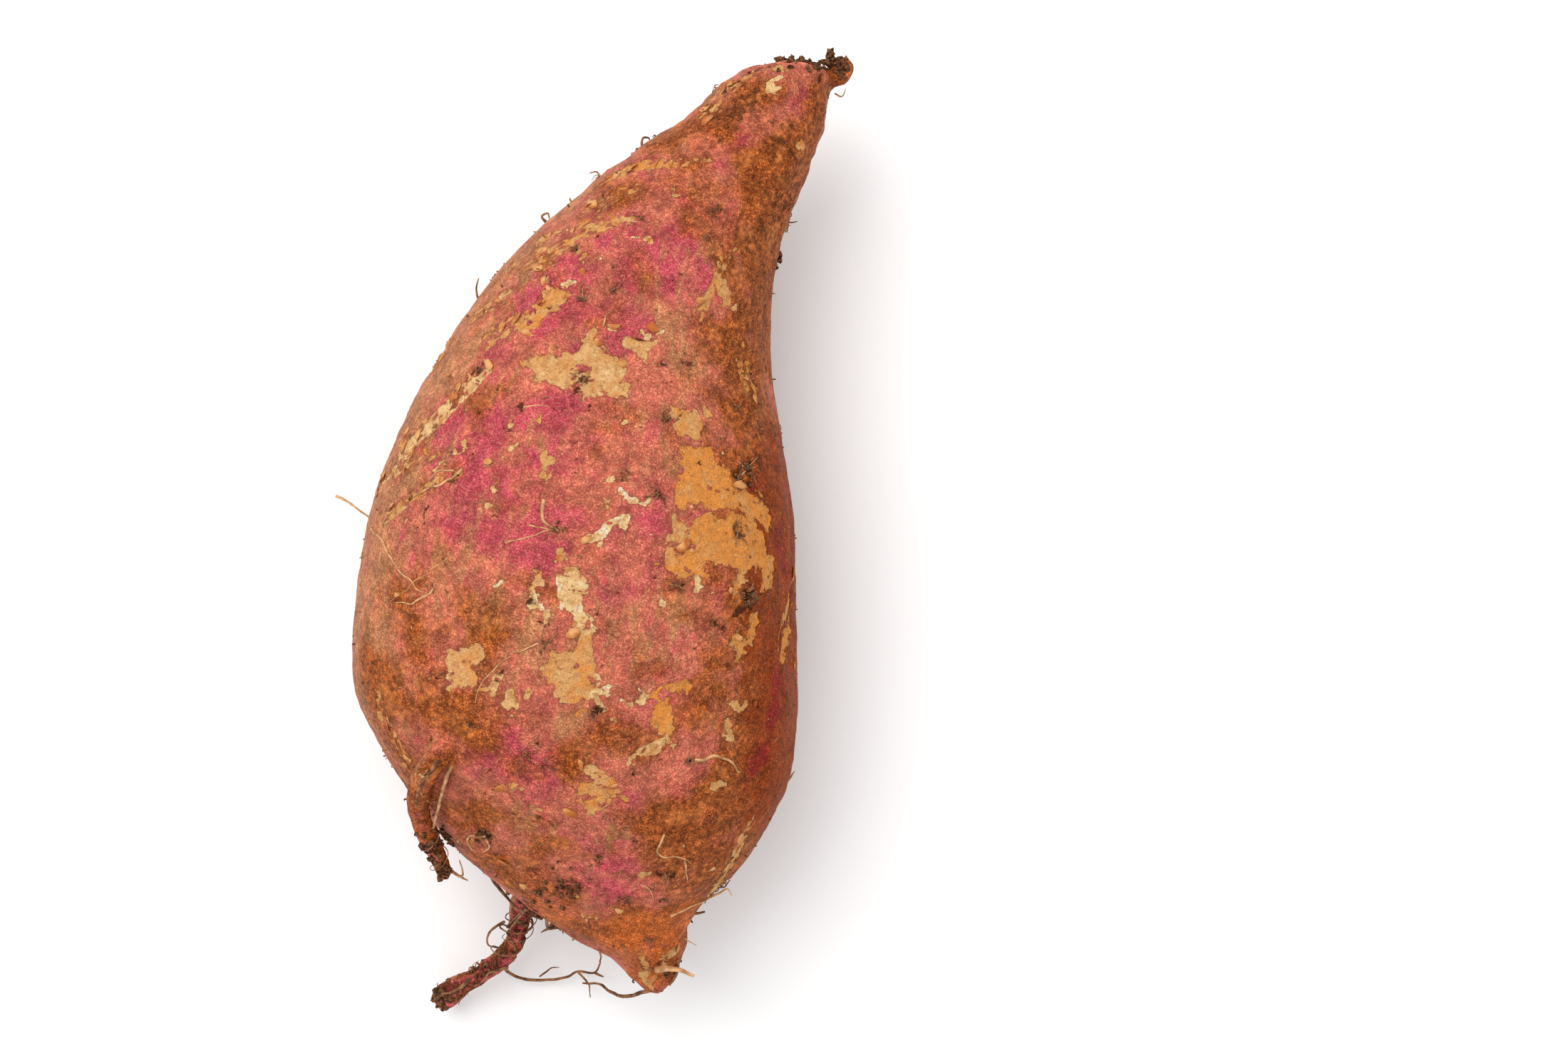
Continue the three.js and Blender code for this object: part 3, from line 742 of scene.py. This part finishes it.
# %% Press the relief into the mesh and store the fields
points = points + normals * rise[:, None]
points[:, 2] = np.maximum(points[:, 2], 0)
skin.data.vertices.foreach_set("co", (points * MM).ravel())
fields = {
    "flake_edge": np.clip(ragged_edge, -3, 3), "paleness": paleness, "torn": torn, "crust": crust,
    "crack_edge": np.clip(crack_edge, -2, 2), "blush": np.clip(blush, 0, 1), "dust": np.clip(dust, 0, 1),
    "brown_and_shade": np.clip(brown_and_shade, 0, 1), "soil_and_shade": np.clip(soil_and_shade, 0, 1), "crimson_shade": crimson_shade, "amber_and_lit_tail": amber_and_lit_tail, "right_flank_shade": right_flank_shade,
}
for name, values in fields.items():
    store = skin.data.attributes.new(name, "FLOAT", "POINT")
    store.data.foreach_set("value", values.astype(np.float32))
skin.data.shade_smooth()
skin.data.update()
tree_of_skin = BVHTree.FromObject(skin, bpy.context.evaluated_depsgraph_get())
print("skin carries", ", ".join(fields))

# %% [markdown]
# ## The finish of the skin
# Sweet potato skin is dull and finely pebbled. Its red lies in a fine mottle over peach, browner where
# dust has been rubbed in. The fields stored above say where each colour goes, and fine noise gives the dots,
# so the finish stays sharp at any distance. Bare flesh is lighter, drier and has open pores.

# %% Palette of the skin
PINK = (0.46, 0.088, 0.058)
PINK_PEACH = (0.64, 0.205, 0.12)
MAGENTA = (0.43, 0.035, 0.062)
MAGENTA_LIGHT = (0.58, 0.12, 0.125)
DUSTY = (0.38, 0.135, 0.05)
DUSTY_LIGHT = (0.57, 0.27, 0.125)
BROWN_SKIN = (0.2, 0.036, 0.005)
BROWN_LIGHT = (0.44, 0.12, 0.024)
OCHRE = (0.52, 0.165, 0.04)
# AMBER is partly painted light: it is made bright to light up the tail.
AMBER = (0.7, 0.185, 0.042)
AMBER_DARK = (0.42, 0.08, 0.016)
# Painted shade colours for the right-facing flank.
RIGHT_SHADE_BROWN = (0.36, 0.062, 0.009)
RIGHT_SHADE_DARK = (0.2, 0.028, 0.003)
SOIL_DARK = (0.045, 0.015, 0.006)
SOIL_BROWN = (0.17, 0.055, 0.018)
# CRIMSON and RUBY are the painted shade along the right flank.
CRIMSON = (0.16, 0.005, 0.006)
RUBY = (0.36, 0.022, 0.022)
FLESH_ORANGE = (0.74, 0.265, 0.052)
FLESH_TAN = (0.66, 0.335, 0.125)
FLESH_CREAM = (0.80, 0.53, 0.25)
FLESH_WHITE = (0.85, 0.74, 0.54)
FLESH_BROWN = (0.44, 0.17, 0.05)
CRUST_DARK = (0.055, 0.014, 0.006)

print("the palette is mixed")

# %% [markdown]
# A finish lays one colour over another, as a painter lays glazes. A share near 1 hides what is below. Three
# small helpers do the laying: one swings noise about nothing, one lays, and one breaks up a stored field.


# %% Laying colours
def centred(tree, value, amount):
    """Noise of 0..1 turned into a swing of this much either side of 0."""
    return sum_up(tree, "MULTIPLY", sum_up(tree, "SUBTRACT", value, 0.5), 2 * amount)


def lay(tree, colour, share, over):
    """Lays one colour over another where share is near 1."""
    return blend_colours(tree, share, colour, over)


def pushed(tree, name, swing, start, end, most=1.0):
    """A field of the skin, broken up by noise, as a share for laying a colour."""
    return step(tree, sum_up(tree, "ADD", skin_value(tree, name), swing), start, end, 0, most)


print("laying helpers are ready")

# %% [markdown]
# Whole skin comes first. Each colour is really two, a darker ground and lighter dots, and each is laid where
# its field is strong. Brown has clouds of ochre in it. On the right flank the brown is partly painted shade,
# and the dark orange-brown and crimson there are painted shade; the amber on the tail is partly painted
# light. A shade made of two sizes of noise then darkens and lightens all of it, and pale grains and grains of
# soil are sprinkled on top.


# %% Whole skin
def stained_brown(tree, dots, crumble):
    """The brown of old soil in the skin, with ochre clouds."""
    ochre_clouds = step(tree, lumps(tree, 5, 7, seed=17, twist=0.3), 0.5, 0.68, 0, 0.6)
    brown_and_shade = lay(tree, blend_colours(tree, dots, BROWN_SKIN, BROWN_LIGHT), ochre_clouds, OCHRE)
    return blend_colours(tree, 1.0, brown_and_shade, step(tree, crumble, 0.3, 0.7, 0.72, 1.2), "MULTIPLY")


def whole_skin(tree, dots):
    """The skin where it hasn't flaked, from pink to soil brown."""
    crumble = lumps(tree, 1.1, 8, seed=14)
    billow = lumps(tree, 6, 7, seed=12, twist=0.3)
    cloud = lumps(tree, 9, 7, seed=2, twist=0.3)
    streaks = lumps(tree, 2.2, 5, stretch=(1, 0.3, 0.6), seed=10, twist=0.5)
    magenta = blend_colours(tree, dots, MAGENTA, MAGENTA_LIGHT)
    dusty = blend_colours(tree, dots, DUSTY, DUSTY_LIGHT)
    brown_and_shade = stained_brown(tree, dots, crumble)
    amber = blend_colours(tree, dots, AMBER_DARK, AMBER)
    right_flank_shade = blend_colours(tree, dots, RIGHT_SHADE_DARK, RIGHT_SHADE_BROWN)
    crimson = blend_colours(tree, dots, CRIMSON, RUBY)
    colour = blend_colours(tree, dots, PINK, PINK_PEACH)
    colour = lay(tree, colour, pushed(tree, "blush", centred(tree, billow, 1.2), 0.1, 0.9), magenta)
    colour = lay(tree, colour, pushed(tree, "dust", centred(tree, streaks, 1.3), 0.12, 0.9, 0.85), dusty)
    # Partly painted shade: the brown is strong on the right flank.
    colour = lay(tree, colour, pushed(tree, "brown_and_shade", centred(tree, cloud, 1.1), 0.12, 0.85, 0.94), brown_and_shade)
    # Partly painted light: amber brightens the tail.
    colour = lay(tree, colour, pushed(tree, "amber_and_lit_tail", centred(tree, cloud, 0.7), 0.1, 0.8, 0.85), amber)
    # Painted shade: dark orange-brown on the right-facing flank.
    colour = lay(tree, colour, pushed(tree, "right_flank_shade", centred(tree, billow, 0.7), 0.15, 0.85, 0.9), right_flank_shade)
    # Painted shade: dark crimson along the right flank.
    colour = lay(tree, colour, skin_value(tree, "crimson_shade"), crimson)
    shade = step(tree, lumps(tree, 4, 8, seed=3), 0.3, 0.7, 0.76, 1.2)
    shade = sum_up(tree, "MULTIPLY", shade, step(tree, crumble, 0.3, 0.7, 0.76, 1.24))
    colour = blend_colours(tree, 1.0, colour, shade, "MULTIPLY")
    pale_grains = step(tree, lumps(tree, 0.5, 2, seed=4), 0.66, 0.74, 0, 0.7)
    soil_grains = step(tree, lumps(tree, 1.2, 5, seed=5), 0.36, 0.27, 0, 0.75)
    return lay(tree, lay(tree, colour, pale_grains, DUSTY_LIGHT), soil_grains, SOIL_BROWN)


# Of the six layers, two are painted shade, and the brown and amber are partly painted shade and light.
print("six stains can be laid over the pink")

# %% [markdown]
# Bare flesh dries from orange to tan, cream and nearly white, so its colour climbs that ladder with the
# stored paleness, and wisps of noise push it up and down. Brown bits that stayed on and pores come last.


# %% Bare flesh
def bare_flesh(tree):
    """The dried flesh below a flake."""
    wisps = lumps(tree, 3.2, 6, seed=1, twist=0.6)
    pale = sum_up(tree, "ADD", skin_value(tree, "paleness"), centred(tree, wisps, 0.6))
    flesh = lay(tree, FLESH_ORANGE, step(tree, pale, 0.1, 0.5), FLESH_TAN)
    flesh = lay(tree, flesh, step(tree, pale, 0.45, 0.85), FLESH_CREAM)
    flesh = lay(tree, flesh, step(tree, pale, 0.85, 1.1), FLESH_WHITE)
    left_on = step(tree, lumps(tree, 1.2, 8, seed=6), 0.56, 0.3, 0, 0.6)
    pores = step(tree, lumps(tree, 0.5, 4, seed=20), 0.47, 0.33, 0, 0.7)
    bloom = step(tree, lumps(tree, 0.6, 4, seed=21), 0.56, 0.68, 0, 0.25)
    flesh = lay(tree, lay(tree, flesh, left_on, FLESH_BROWN), pores, FLESH_BROWN)
    return lay(tree, flesh, bloom, FLESH_CREAM)


def flake_distance(tree):
    """How far outside a flake a spot is, in mm, with a toothed edge where the flake is torn."""
    tooth = centred(tree, lumps(tree, 1.7, 7, seed=7, twist=0.2), 1.7)
    swing = sum_up(tree, "MULTIPLY", tooth, skin_value(tree, "torn"))
    return sum_up(tree, "ADD", skin_value(tree, "flake_edge"), swing)


print("flesh runs from", FLESH_ORANGE, "to", FLESH_WHITE)

# %% [markdown]
# Last come soil, crusts and cracks, which lie over skin and flesh alike, and the finest relief. The soil
# field
# also carries painted shade on the right flank. Its bump is only for pebbles and dots too small for the mesh:
# everything larger is already pressed in.


# %% Soil on top, and the whole finish
def soiled_and_shaded_skin(tree, colour, dots, soil_and_shade_share, clods):
    """Lays soil and the painted shade of the right flank, the crusts of the eyes and the dark of the cracks
    over everything.
    """
    colour = lay(tree, colour, soil_and_shade_share, blend_colours(tree, dots, SOIL_DARK, SOIL_BROWN))
    crust_colour = blend_colours(tree, dots, CRUST_DARK, SOIL_BROWN)
    colour = lay(tree, colour, pushed(tree, "crust", clods, 0.5, 1.0, 0.88), crust_colour)
    waver = centred(tree, lumps(tree, 0.6, 4, seed=11), 0.5)
    crack = sum_up(tree, "ADD", skin_value(tree, "crack_edge"), waver)
    return lay(tree, colour, step(tree, crack, 0.2, -0.12, 0, 0.88), CRUST_DARK)


def skin_finish():
    finish, tree, shader = new_finish("red_skin", 0.6, 0.04)
    dots = step(tree, lumps(tree, 0.34, 2), 0.36, 0.64)
    edge = flake_distance(tree)
    bare = step(tree, edge, 0.06, -0.08)
    # Painted shade: a thin brown ring just outside each flake darkens its torn rim.
    colour = lay(tree, whole_skin(tree, dots), step(tree, edge, 0.5, 0.05, 0, 0.25), SOIL_BROWN)
    colour = lay(tree, colour, bare, bare_flesh(tree))
    clods = centred(tree, lumps(tree, 1.5, 6, seed=8), 0.9)
    # The soil field also carries painted shade on the right flank.
    soil_and_shade_share = pushed(tree, "soil_and_shade", clods, 0.38, 0.8, 0.85)
    plug(tree, shader.inputs["Base Color"], soiled_and_shaded_skin(tree, colour, dots, soil_and_shade_share, clods))

    duller = sum_up(tree, "ADD", bare, soil_and_shade_share)
    plug(tree, shader.inputs["Roughness"], step(tree, duller, 0, 1, 0.5, 0.8))
    pebbles = sum_up(tree, "MULTIPLY", lumps(tree, 1.3, 5, seed=9), 2.0)
    relief = sum_up(tree, "SUBTRACT", sum_up(tree, "ADD", dots, pebbles), bare)
    roughen(tree, shader, relief, 0.16)
    return finish


skin.data.materials.clear()
skin.data.materials.append(skin_finish())
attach(skin, "root")
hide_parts(PART)
skin.name = "potato_skin"
print("skin finish has", len(skin.data.materials[0].node_tree.nodes), "nodes")

# %% [markdown]
# ## Rootlets
# Fine feeding roots cling to the skin or stand off it, brown where soil holds to them and pale where they
# are rubbed clean. A curve with a round section suits them best: it costs little and tapers point by point.

# %% Making rootlets
def rootlet_finish(name, dark, light):
    finish, tree, shader = new_finish(name, 0.75, 0.2)
    share = step(tree, lumps(tree, 1.6, 4, seed=12), 0.35, 0.65)
    plug(tree, shader.inputs["Base Color"], blend_colours(tree, share, dark, light))
    roughen(tree, shader, lumps(tree, 0.5, 3, seed=13), 0.12)
    return finish


def smooth_line(knots, steps):
    """A smooth line through the knots, as many short steps between each pair."""
    knots = [np.array(k, float) for k in knots]
    ends = [2 * knots[0] - knots[1], *knots, 2 * knots[-1] - knots[-2]]
    line = []
    for a, b, c, d in zip(ends, ends[1:], ends[2:], ends[3:]):
        for t in np.arange(steps) / steps:
            bend = (2 * a - 5 * b + 4 * c - d) * t**2
            line.append(0.5 * (2 * b + (c - a) * t + bend + (3 * b - a - 3 * c + d) * t**3))
    return [*line, knots[-1]]


def make_rootlets(name, lines, finish):
    """Many tapering rootlets as one piece. Each line is its points, then its radius at the start and end."""
    curve = bpy.data.curves.new(name, "CURVE")
    curve.dimensions = "3D"
    curve.bevel_depth = 1
    curve.bevel_resolution = 2
    curve.use_fill_caps = True
    for line, start_radius, end_radius in lines:
        spline = curve.splines.new("POLY")
        spline.points.add(len(line) - 1)
        for k, spot in enumerate(line):
            share = k / (len(line) - 1)
            wobble = 1 + 0.18 * noise.noise(Vector(spot) / 1.1)
            radius = (start_radius + (end_radius - start_radius) * share) * wobble
            spline.points[k].co = (*(np.array(spot) * MM), 1)
            spline.points[k].radius = radius * MM
    curve.materials.append(finish)
    piece = bpy.data.objects.new(name, curve)
    bpy.context.scene.collection.objects.link(piece)
    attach(piece, "root")
    print(name, "has", len(lines), "rootlets")
    return piece


def lying(places, radius, lift=0.4):
    """A rootlet that lies on the skin, through places given in plan."""
    line = []
    for x, y, _ in smooth_line([(x, y, 0) for x, y in places], 9):
        sway = noise.noise_vector(Vector((x, y, radius * 90)) / 2.2)
        spot, out = on_skin(x + 0.55 * sway.x, y + 0.55 * sway.y)
        line.append(spot + out * (radius * lift + 0.12 * noise.noise(Vector(spot) / 2)))
    return line, radius, radius * 0.45


def free(knots, radius, tip=0.4, steps=7):
    """A rootlet that stands free of the skin, through points in space."""
    line = smooth_line(knots, steps)
    line = [p + 0.25 * np.array(noise.noise_vector(Vector(p) / 2.5)) for p in line]
    return line, radius, radius * tip

# %% [markdown]
# The pale rootlets are the clean ones: most lie along the skin, and a few stand off its edge. Their colour is
# a tan that wanders from straw to brown along their length.

# %% Pale rootlets on the skin and off it
PALE_LYING = [  # radius in mm, then places in plan
    (0.24, (-42.5, -5.5), (-38.5, -8), (-35, -11), (-31, -14), (-27.5, -15.5)),
    (0.1, (-24, -7), (-31, -14), (-35, -18)),
    (0.28, (-27, -14), (-28, -15.5), (-30.5, -17.5), (-33.5, -18)),
    (0.38, (-9, 5.5), (-9, 3), (-8, 1.5), (-5.5, 0.5)),
    (0.2, (-14.5, -3.5), (-12, -2), (-6.5, 0.5)),
    (0.15, (-11, 0.5), (-8, 0.5), (-4.5, 1)),
    (0.2, (-5.5, -20), (-8, -22), (-10.5, -23.5)),
    (0.12, (-10.5, -23.5), (-14.5, -29.5), (-15, -33)),
    (0.32, (26, -37), (30.5, -36), (33.5, -37), (35, -38.5)),
    (0.24, (23, -52), (22, -55.5), (24, -56.5), (27.5, -56.5), (29, -57.5)),
    (0.2, (27.5, -57), (28.5, -61)),
    (0.26, (26.5, -69), (30, -67), (32.5, -66)),
    (0.18, (-5, 39.5), (-4, 43)),
    (0.28, (-10.5, -59), (-13, -59.5), (-14, -61.5), (-13, -63)),
    (0.22, (-10.5, -59.5), (-9.5, -61), (-10.5, -62.5)),
    (0.3, (-25.5, 8.5), (-28, 6), (-31, 4), (-34, 2)),
    (0.2, (-27, 8), (-30, 7.5), (-32, 5.5)),
    (0.15, (-16, 22), (-14, 22.5), (-12, 23)),
    (0.14, (20, -63), (22, -64), (23, -66)),
    (0.16, (11, -45), (12, -47), (11, -49)),
    (0.13, (24, 19), (26, 18), (28, 18.5)),
    (0.13, (25.5, 16.5), (27, 19), (27.5, 20.5)),
    (0.14, (-22, -47), (-24, -50), (-23, -53)),
]
PALE_FREE = [
    ([(-53, -1, 31), (-49.5, -2, 33), (-44.5, -4.5, 36), (-42.5, -5.5, 38.5)], 0.3),
    ([(25.5, -81, 38), (29, -80, 40), (33, -80.5, 41)], 0.75),
    ([(32.5, -66, 37), (35, -64.5, 36), (36.5, -63.5, 36), (37.5, -64.5, 35)], 0.28),
    ([(43, -41.5, 33), (44.5, -40.5, 33.5), (45.5, -38.5, 34)], 0.3),
    ([(-17.5, -44, 66), (-19, -49, 64), (-20, -55, 58), (-21, -60, 52), (-22, -64, 47)], 0.42),
    ([(29.5, -74.5, 34), (32.5, -75.5, 34)], 0.15),
    ([(30, 94, 33), (31.5, 93.5, 33.5), (32, 95.5, 33)], 0.22),
    ([(-17, -68.5, 42), (-15, -69.5, 41), (-13.5, -70, 40)], 0.35),
    ([(-15.5, -69.5, 41), (-14.5, -68.5, 42), (-15.5, -66, 44)], 0.28),
]
pale_root = rootlet_finish("pale_rootlet", (0.36, 0.17, 0.07), (0.68, 0.38, 0.18))
lines = [lying(places, radius) for radius, *places in PALE_LYING]
lines += [free(knots, radius) for knots, radius in PALE_FREE]
make_rootlets("pale_rootlets", lines, pale_root)

# %% [markdown]
# Near the tail and the side roots the rootlets keep their soil. Some run out over the table, and thin threads
# wind round the side roots. A winding is a formula, so its points are worked out and not listed.

# %% Brown rootlets that run along the table side
BROWN_FREE = [
    ([(27, -86, 30), (24, -88, 23), (20, -90.5, 18), (16.5, -91, 12), (14, -90.5, 8),
    (10.5, -91.5, 5)], 0.5),
    ([(-4, -88, 8), (-5.5, -91.5, 5), (-1, -93, 3), (6, -91.5, 3), (9, -89.5, 4), (12.5, -89, 4),
      (13.5, -85.5, 10), (13.5, -81.5, 24)], 0.4),
    ([(9, -89.5, 4), (11.5, -91.5, 3), (12.5, -94.5, 2)], 0.25),
    ([(1.5, -92, 3), (3.5, -89.5, 4), (5, -89, 5)], 0.22),
    ([(12.5, -89, 4), (14.5, -89.5, 4)], 0.35),
    ([(-7, -80.5, 14), (-9.5, -83, 13), (-9.5, -86, 12), (-7, -86, 12)], 0.3),
    ([(-14.5, -62.5, 33), (-11, -68.5, 30), (-8, -73, 24), (-4, -76, 24), (1, -77, 26)], 0.5),
    ([(2, -76.5, 25), (2.5, -79, 22), (4.5, -79, 20), (6.5, -79.5, 19)], 0.4),
    ([(2.5, -79, 22), (1, -80.5, 20)], 0.3),
    ([(3, -79, 21), (4.5, -78, 20.5), (5.5, -80, 19.5)], 0.3),
    ([(30, -69.5, 33), (31.5, -69.5, 33), (33, -69, 33)], 0.4),
    ([(29.5, -70, 32), (31, -71.5, 31.5)], 0.4),
    ([(-31, 41, 34), (-32.5, 43, 34), (-32.5, 46, 33)], 0.3),
    ([(-20.5, 58.5, 34), (-22.5, 60, 34), (-21.5, 61, 34), (-21, 60, 34)], 0.32),
    ([(-5, 76, 34), (-5.5, 78.5, 34), (-4.5, 79, 34), (-4, 78.5, 34)], 0.3),
    ([(-3, 77.5, 34), (-3, 79.5, 34), (-2, 79.5, 34)], 0.26),
    ([(-39, 1.5, 36), (-43, 3, 36), (-43.5, 2, 36)], 0.5),
    ([(-41.5, -3, 34), (-42.5, -5, 34)], 0.6),
    ([(29, -79, 33), (29.5, -82, 32), (28.5, -84.5, 32)], 0.55),
]


def coil(start, end, reach, turns, phase):
    """A thread wound round a side root between two places on its axis."""
    start, end = Vector(start), Vector(end)
    first = (end - start).cross(Vector((0, 0, 1))).normalized()
    second = (end - start).cross(first).normalized()
    knots = []
    for k in range(8 * turns + 1):
        share = k / (8 * turns)
        turn = phase + 2 * math.pi * turns * share
        knots.append(start.lerp(end, share) + reach * (first * math.cos(turn) + second * math.sin(turn)))
    return knots


COILS = [  # start, end, distance from the axis, turns, phase, radius
    ((-4, -75, 16), (-4, -84, 11), 3, 2, 0.4, 0.18),
    ((-4, -79, 13.5), (-6.5, -89, 9), 3, 2, 2, 0.22),
    ((-22.5, -60, 52), (-18.5, -68, 44), 2.2, 2, 1, 0.16),
    ((-3, -70, 19), (-4, -80, 13), 3.2, 1, 4, 0.2),
]
BROWN_FREE += [(coil(*winding), radius) for *winding, radius in COILS]
brown_root = rootlet_finish("brown_rootlet", (0.1, 0.04, 0.018), (0.36, 0.16, 0.07))
lines = [free(knots, radius) for knots, radius in BROWN_FREE]
BROWN_LYING = [
    [(-20.5, -45), (-23, -50), (-24, -55)],
    [(-5, -90), (-8, -91.5), (-11, -95)],
    [(-4, -78), (-6, -82), (-4, -86)],
    [(-12, -94), (-15, -97), (-18, -99)],
]
lines += [lying(places, 0.4, 0.8) for places in BROWN_LYING]
make_rootlets("brown_rootlets", lines, brown_root)

# %% [markdown]
# Each eye holds a tuft of broken hairs, and short stubs stand out all over the skin. They are what breaks
# up the outline. A loop grows them from the seeded draw: outwards, then bent over to one side.

# %% Tufts and stubs
def sprout(spot, out, length, radius, lean):
    """A short hair that grows out of the skin and bends over."""
    side = Vector([draw.uniform(-1, 1) for _ in range(3)])
    side = np.array((side - side.project(Vector(out))).normalized())
    tip = spot + out * length * (1 - lean) + side * length * lean
    knee = spot + out * length * 0.6 * (1 - lean / 2) + side * length * 0.3 * lean
    return free([spot - out * 0.3, knee, tip], radius, 0.5, steps=5)


tufts = []
for spot, radius, darkness in eyes:
    for _ in range(draw.randint(3, 7) + round(7 * darkness)):
        nudge = Vector([draw.gauss(0, 0.4 * radius) for _ in range(3)])
        start, out = nearest_skin(Vector(spot) + nudge)
        length = draw.uniform(0.8, 1.8 + 2 * darkness)
        thickness, lean = draw.uniform(0.08, 0.22), draw.uniform(0.7, 0.97)
        tufts.append(sprout(start - 0.3 * out, out, length, thickness, lean))
for index in [draw.randrange(len(points)) for _ in range(420)]:
    if points[index, 2] > 4:
        length, thickness, lean = draw.uniform(0.3, 1.1), draw.uniform(0.1, 0.24), draw.uniform(0.1, 0.8)
        tufts.append(sprout(points[index], normals[index], length, thickness, lean))
make_rootlets("hair_tufts", tufts, brown_root)

# %% [markdown]
# ## Lifted peels
# Dry skin curls up where it has torn. Each peel is a little ragged fan of faces that stands on the edge of a
# flake, low on one side and lifted on the other. A Solidify modifier gives the whole sheet its thickness.

# %% Peels along the torn edges
def make_peels(count):
    at_edge = np.flatnonzero((np.abs(ragged_edge) < 0.3) & (points[:, 2] > 6) & (soil_and_shade < 0.6))
    verts, faces = [], []
    for _ in range(count):
        index = draw.choice(at_edge)
        out = Vector(normals[index])
        side = out.orthogonal().normalized()
        side.rotate(Matrix.Rotation(draw.uniform(0, 6.28), 3, out))
        over = out.cross(side)
        size, lift = draw.uniform(0.35, 1.0), draw.uniform(0.15, 0.5)
        longer = draw.uniform(1, 2.2)
        base = len(verts)
        around = 9
        verts.append(Vector(points[index]) + out * 0.12)
        for k in range(around):
            turn = 2 * math.pi * k / around
            reach = size * draw.uniform(0.65, 1.2)
            sideways, forward = reach * math.cos(turn) * longer, reach * math.sin(turn)
            up = 0.04 + lift * max(0, forward / size) ** 2
            verts.append(Vector(points[index]) + side * sideways + over * forward + out * up)
            faces.append((base, base + 1 + k, base + 1 + (k + 1) % around))
    mesh = bpy.data.meshes.new("skin_peels")
    mesh.from_pydata([v * MM for v in verts], [], faces)
    mesh.shade_smooth()
    finish, tree, shader = new_finish("dry_peel", 0.7, 0.15)
    tone = step(tree, lumps(tree, 2.5, 5, seed=18), 0.35, 0.65)
    plug(tree, shader.inputs["Base Color"], blend_colours(tree, tone, BROWN_LIGHT, FLESH_TAN))
    roughen(tree, shader, lumps(tree, 0.5, 3, seed=19), 0.08)
    mesh.materials.append(finish)
    peels = bpy.data.objects.new("skin_peels", mesh)
    bpy.context.scene.collection.objects.link(peels)
    thick = peels.modifiers.new("Solidify", "SOLIDIFY")
    thick.thickness = 0.08 * MM
    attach(peels, "root")
    print(count, "peels")


make_peels(170)

# %% [markdown]
# ## Soil
# Dry soil clings as crumbs round the crown, at the tips of the side roots and in the eyes. A crumb is a small
# ball pushed out of shape by noise. All of them are one mesh, because nobody would pick them up one by one.

# %% Crumbs of soil
def crumb(centre, size, verts, faces):
    """Adds one lumpy crumb to the lists of a mesh."""
    rings, around = 7, 10
    start = len(verts)
    turn = draw.uniform(0, 6.28)
    shape = size * np.array([draw.uniform(0.6, 1.4) for _ in range(3)])
    for ring in range(rings + 1):
        up = math.pi * ring / rings
        for k in range(around):
            angle = turn + 2 * math.pi * k / around
            way = np.array((math.sin(up) * math.cos(angle), math.sin(up) * math.sin(angle), math.cos(up)))
            bulge = 1 + 0.9 * noise.noise(Vector(way) * 1.9 + Vector(centre))
            verts.append((centre + way * shape * bulge) * MM)
    for ring in range(rings):
        for k in range(around):
            a, b = start + ring * around + k, start + ring * around + (k + 1) % around
            faces.append((a, b, b + around, a + around))

print("crumbs can be made")

# %% [markdown]
# Crumbs gather where something holds them, so each clod is a place, how far it spreads and how many crumbs it
# has. The torn bits at the crown are larger and are set one by one. Dark eyes get a few crumbs each.

# %% Where crumbs gather
CLODS = [  # right, towards the crown, spread, how many: where crumbs gather
    (-18, -69, 2.4, 50), (-17, -99, 2.6, 50), (24, 100, 4, 60), (-21, -64, 2.4, 40), (-10, -91, 4, 24),
    (-4, -84, 4, 16), (20, 99, 3, 40), (30, 99.5, 2.4, 26), (28.5, -81.5, 1.6, 14), (-4, -80, 1.6, 12),
    (-20, -62, 2.6, 26), (5, -67, 6, 26), (-31, -55, 1.6, 12), (-29, -58, 1.4, 14), (26.5, 18, 2, 18),
    (30.5, -6.5, 1.6, 22), (-10.5, -59, 1.8, 16), (-1, -76, 1.8, 14), (30, 60, 1.5, 8),
    (30.5, 99, 1.2, 14),
]
CROWN_STUBS = [  # bigger torn bits at the crown, in mm
    (27.5, 99.5, 35), (28, 100.5, 34.5), (28, 101.5, 34.5), (26, 98.5, 34), (24.5, 99, 33),
    (22.5, 99.5, 33),
    (25.5, 98.5, 35), (20.5, 99, 34), (18.5, 98.5, 34), (27, 97.5, 36), (31, 100, 34),
]
verts, faces = [], []
for x, y, spread, count in CLODS:
    for _ in range(count):
        spot, out = on_skin(x + draw.gauss(0, spread / 2), y + draw.gauss(0, spread / 2))
        crumb(spot + out * 0.1, draw.uniform(0.2, 0.6), verts, faces)
for x, y, z in CROWN_STUBS:
    crumb(np.array((x, y, z)), draw.uniform(0.6, 1.0), verts, faces)
for spot, radius, darkness in eyes:
    for _ in range(round(4 * darkness)):
        nudge = Vector([draw.gauss(0, 0.35 * radius) for _ in range(3)])
        crumb(nearest_skin(Vector(spot) + nudge)[0], draw.uniform(0.12, 0.3), verts, faces)
verts = [(x, y, max(z, 0)) for x, y, z in verts]
soil_mesh = bpy.data.meshes.new("soil_crumbs")
soil_mesh.from_pydata([tuple(v) for v in verts], [], faces)
soil_mesh.shade_smooth()
print(len(faces), "faces of soil")

# %% [markdown]
# Dry soil is dull and almost black where it is damp below. Two browns and a fine bump are enough for it.

# %% Finish of the soil
DAMP_SOIL = (0.03, 0.012, 0.006)
DRY_SOIL = (0.24, 0.1, 0.045)


def soil_finish():
    finish, tree, shader = new_finish("dry_soil", 0.9, 0.1)
    share = step(tree, lumps(tree, 0.7, 4, seed=15), 0.35, 0.65)
    plug(tree, shader.inputs["Base Color"], blend_colours(tree, share, DAMP_SOIL, DRY_SOIL))
    roughen(tree, shader, lumps(tree, 0.3, 3, seed=16), 0.15)
    return finish


soil_mesh.materials.append(soil_finish())
crumbs = bpy.data.objects.new("soil_crumbs", soil_mesh)
bpy.context.scene.collection.objects.link(crumbs)
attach(crumbs, "root")
print("soil rides on the root")
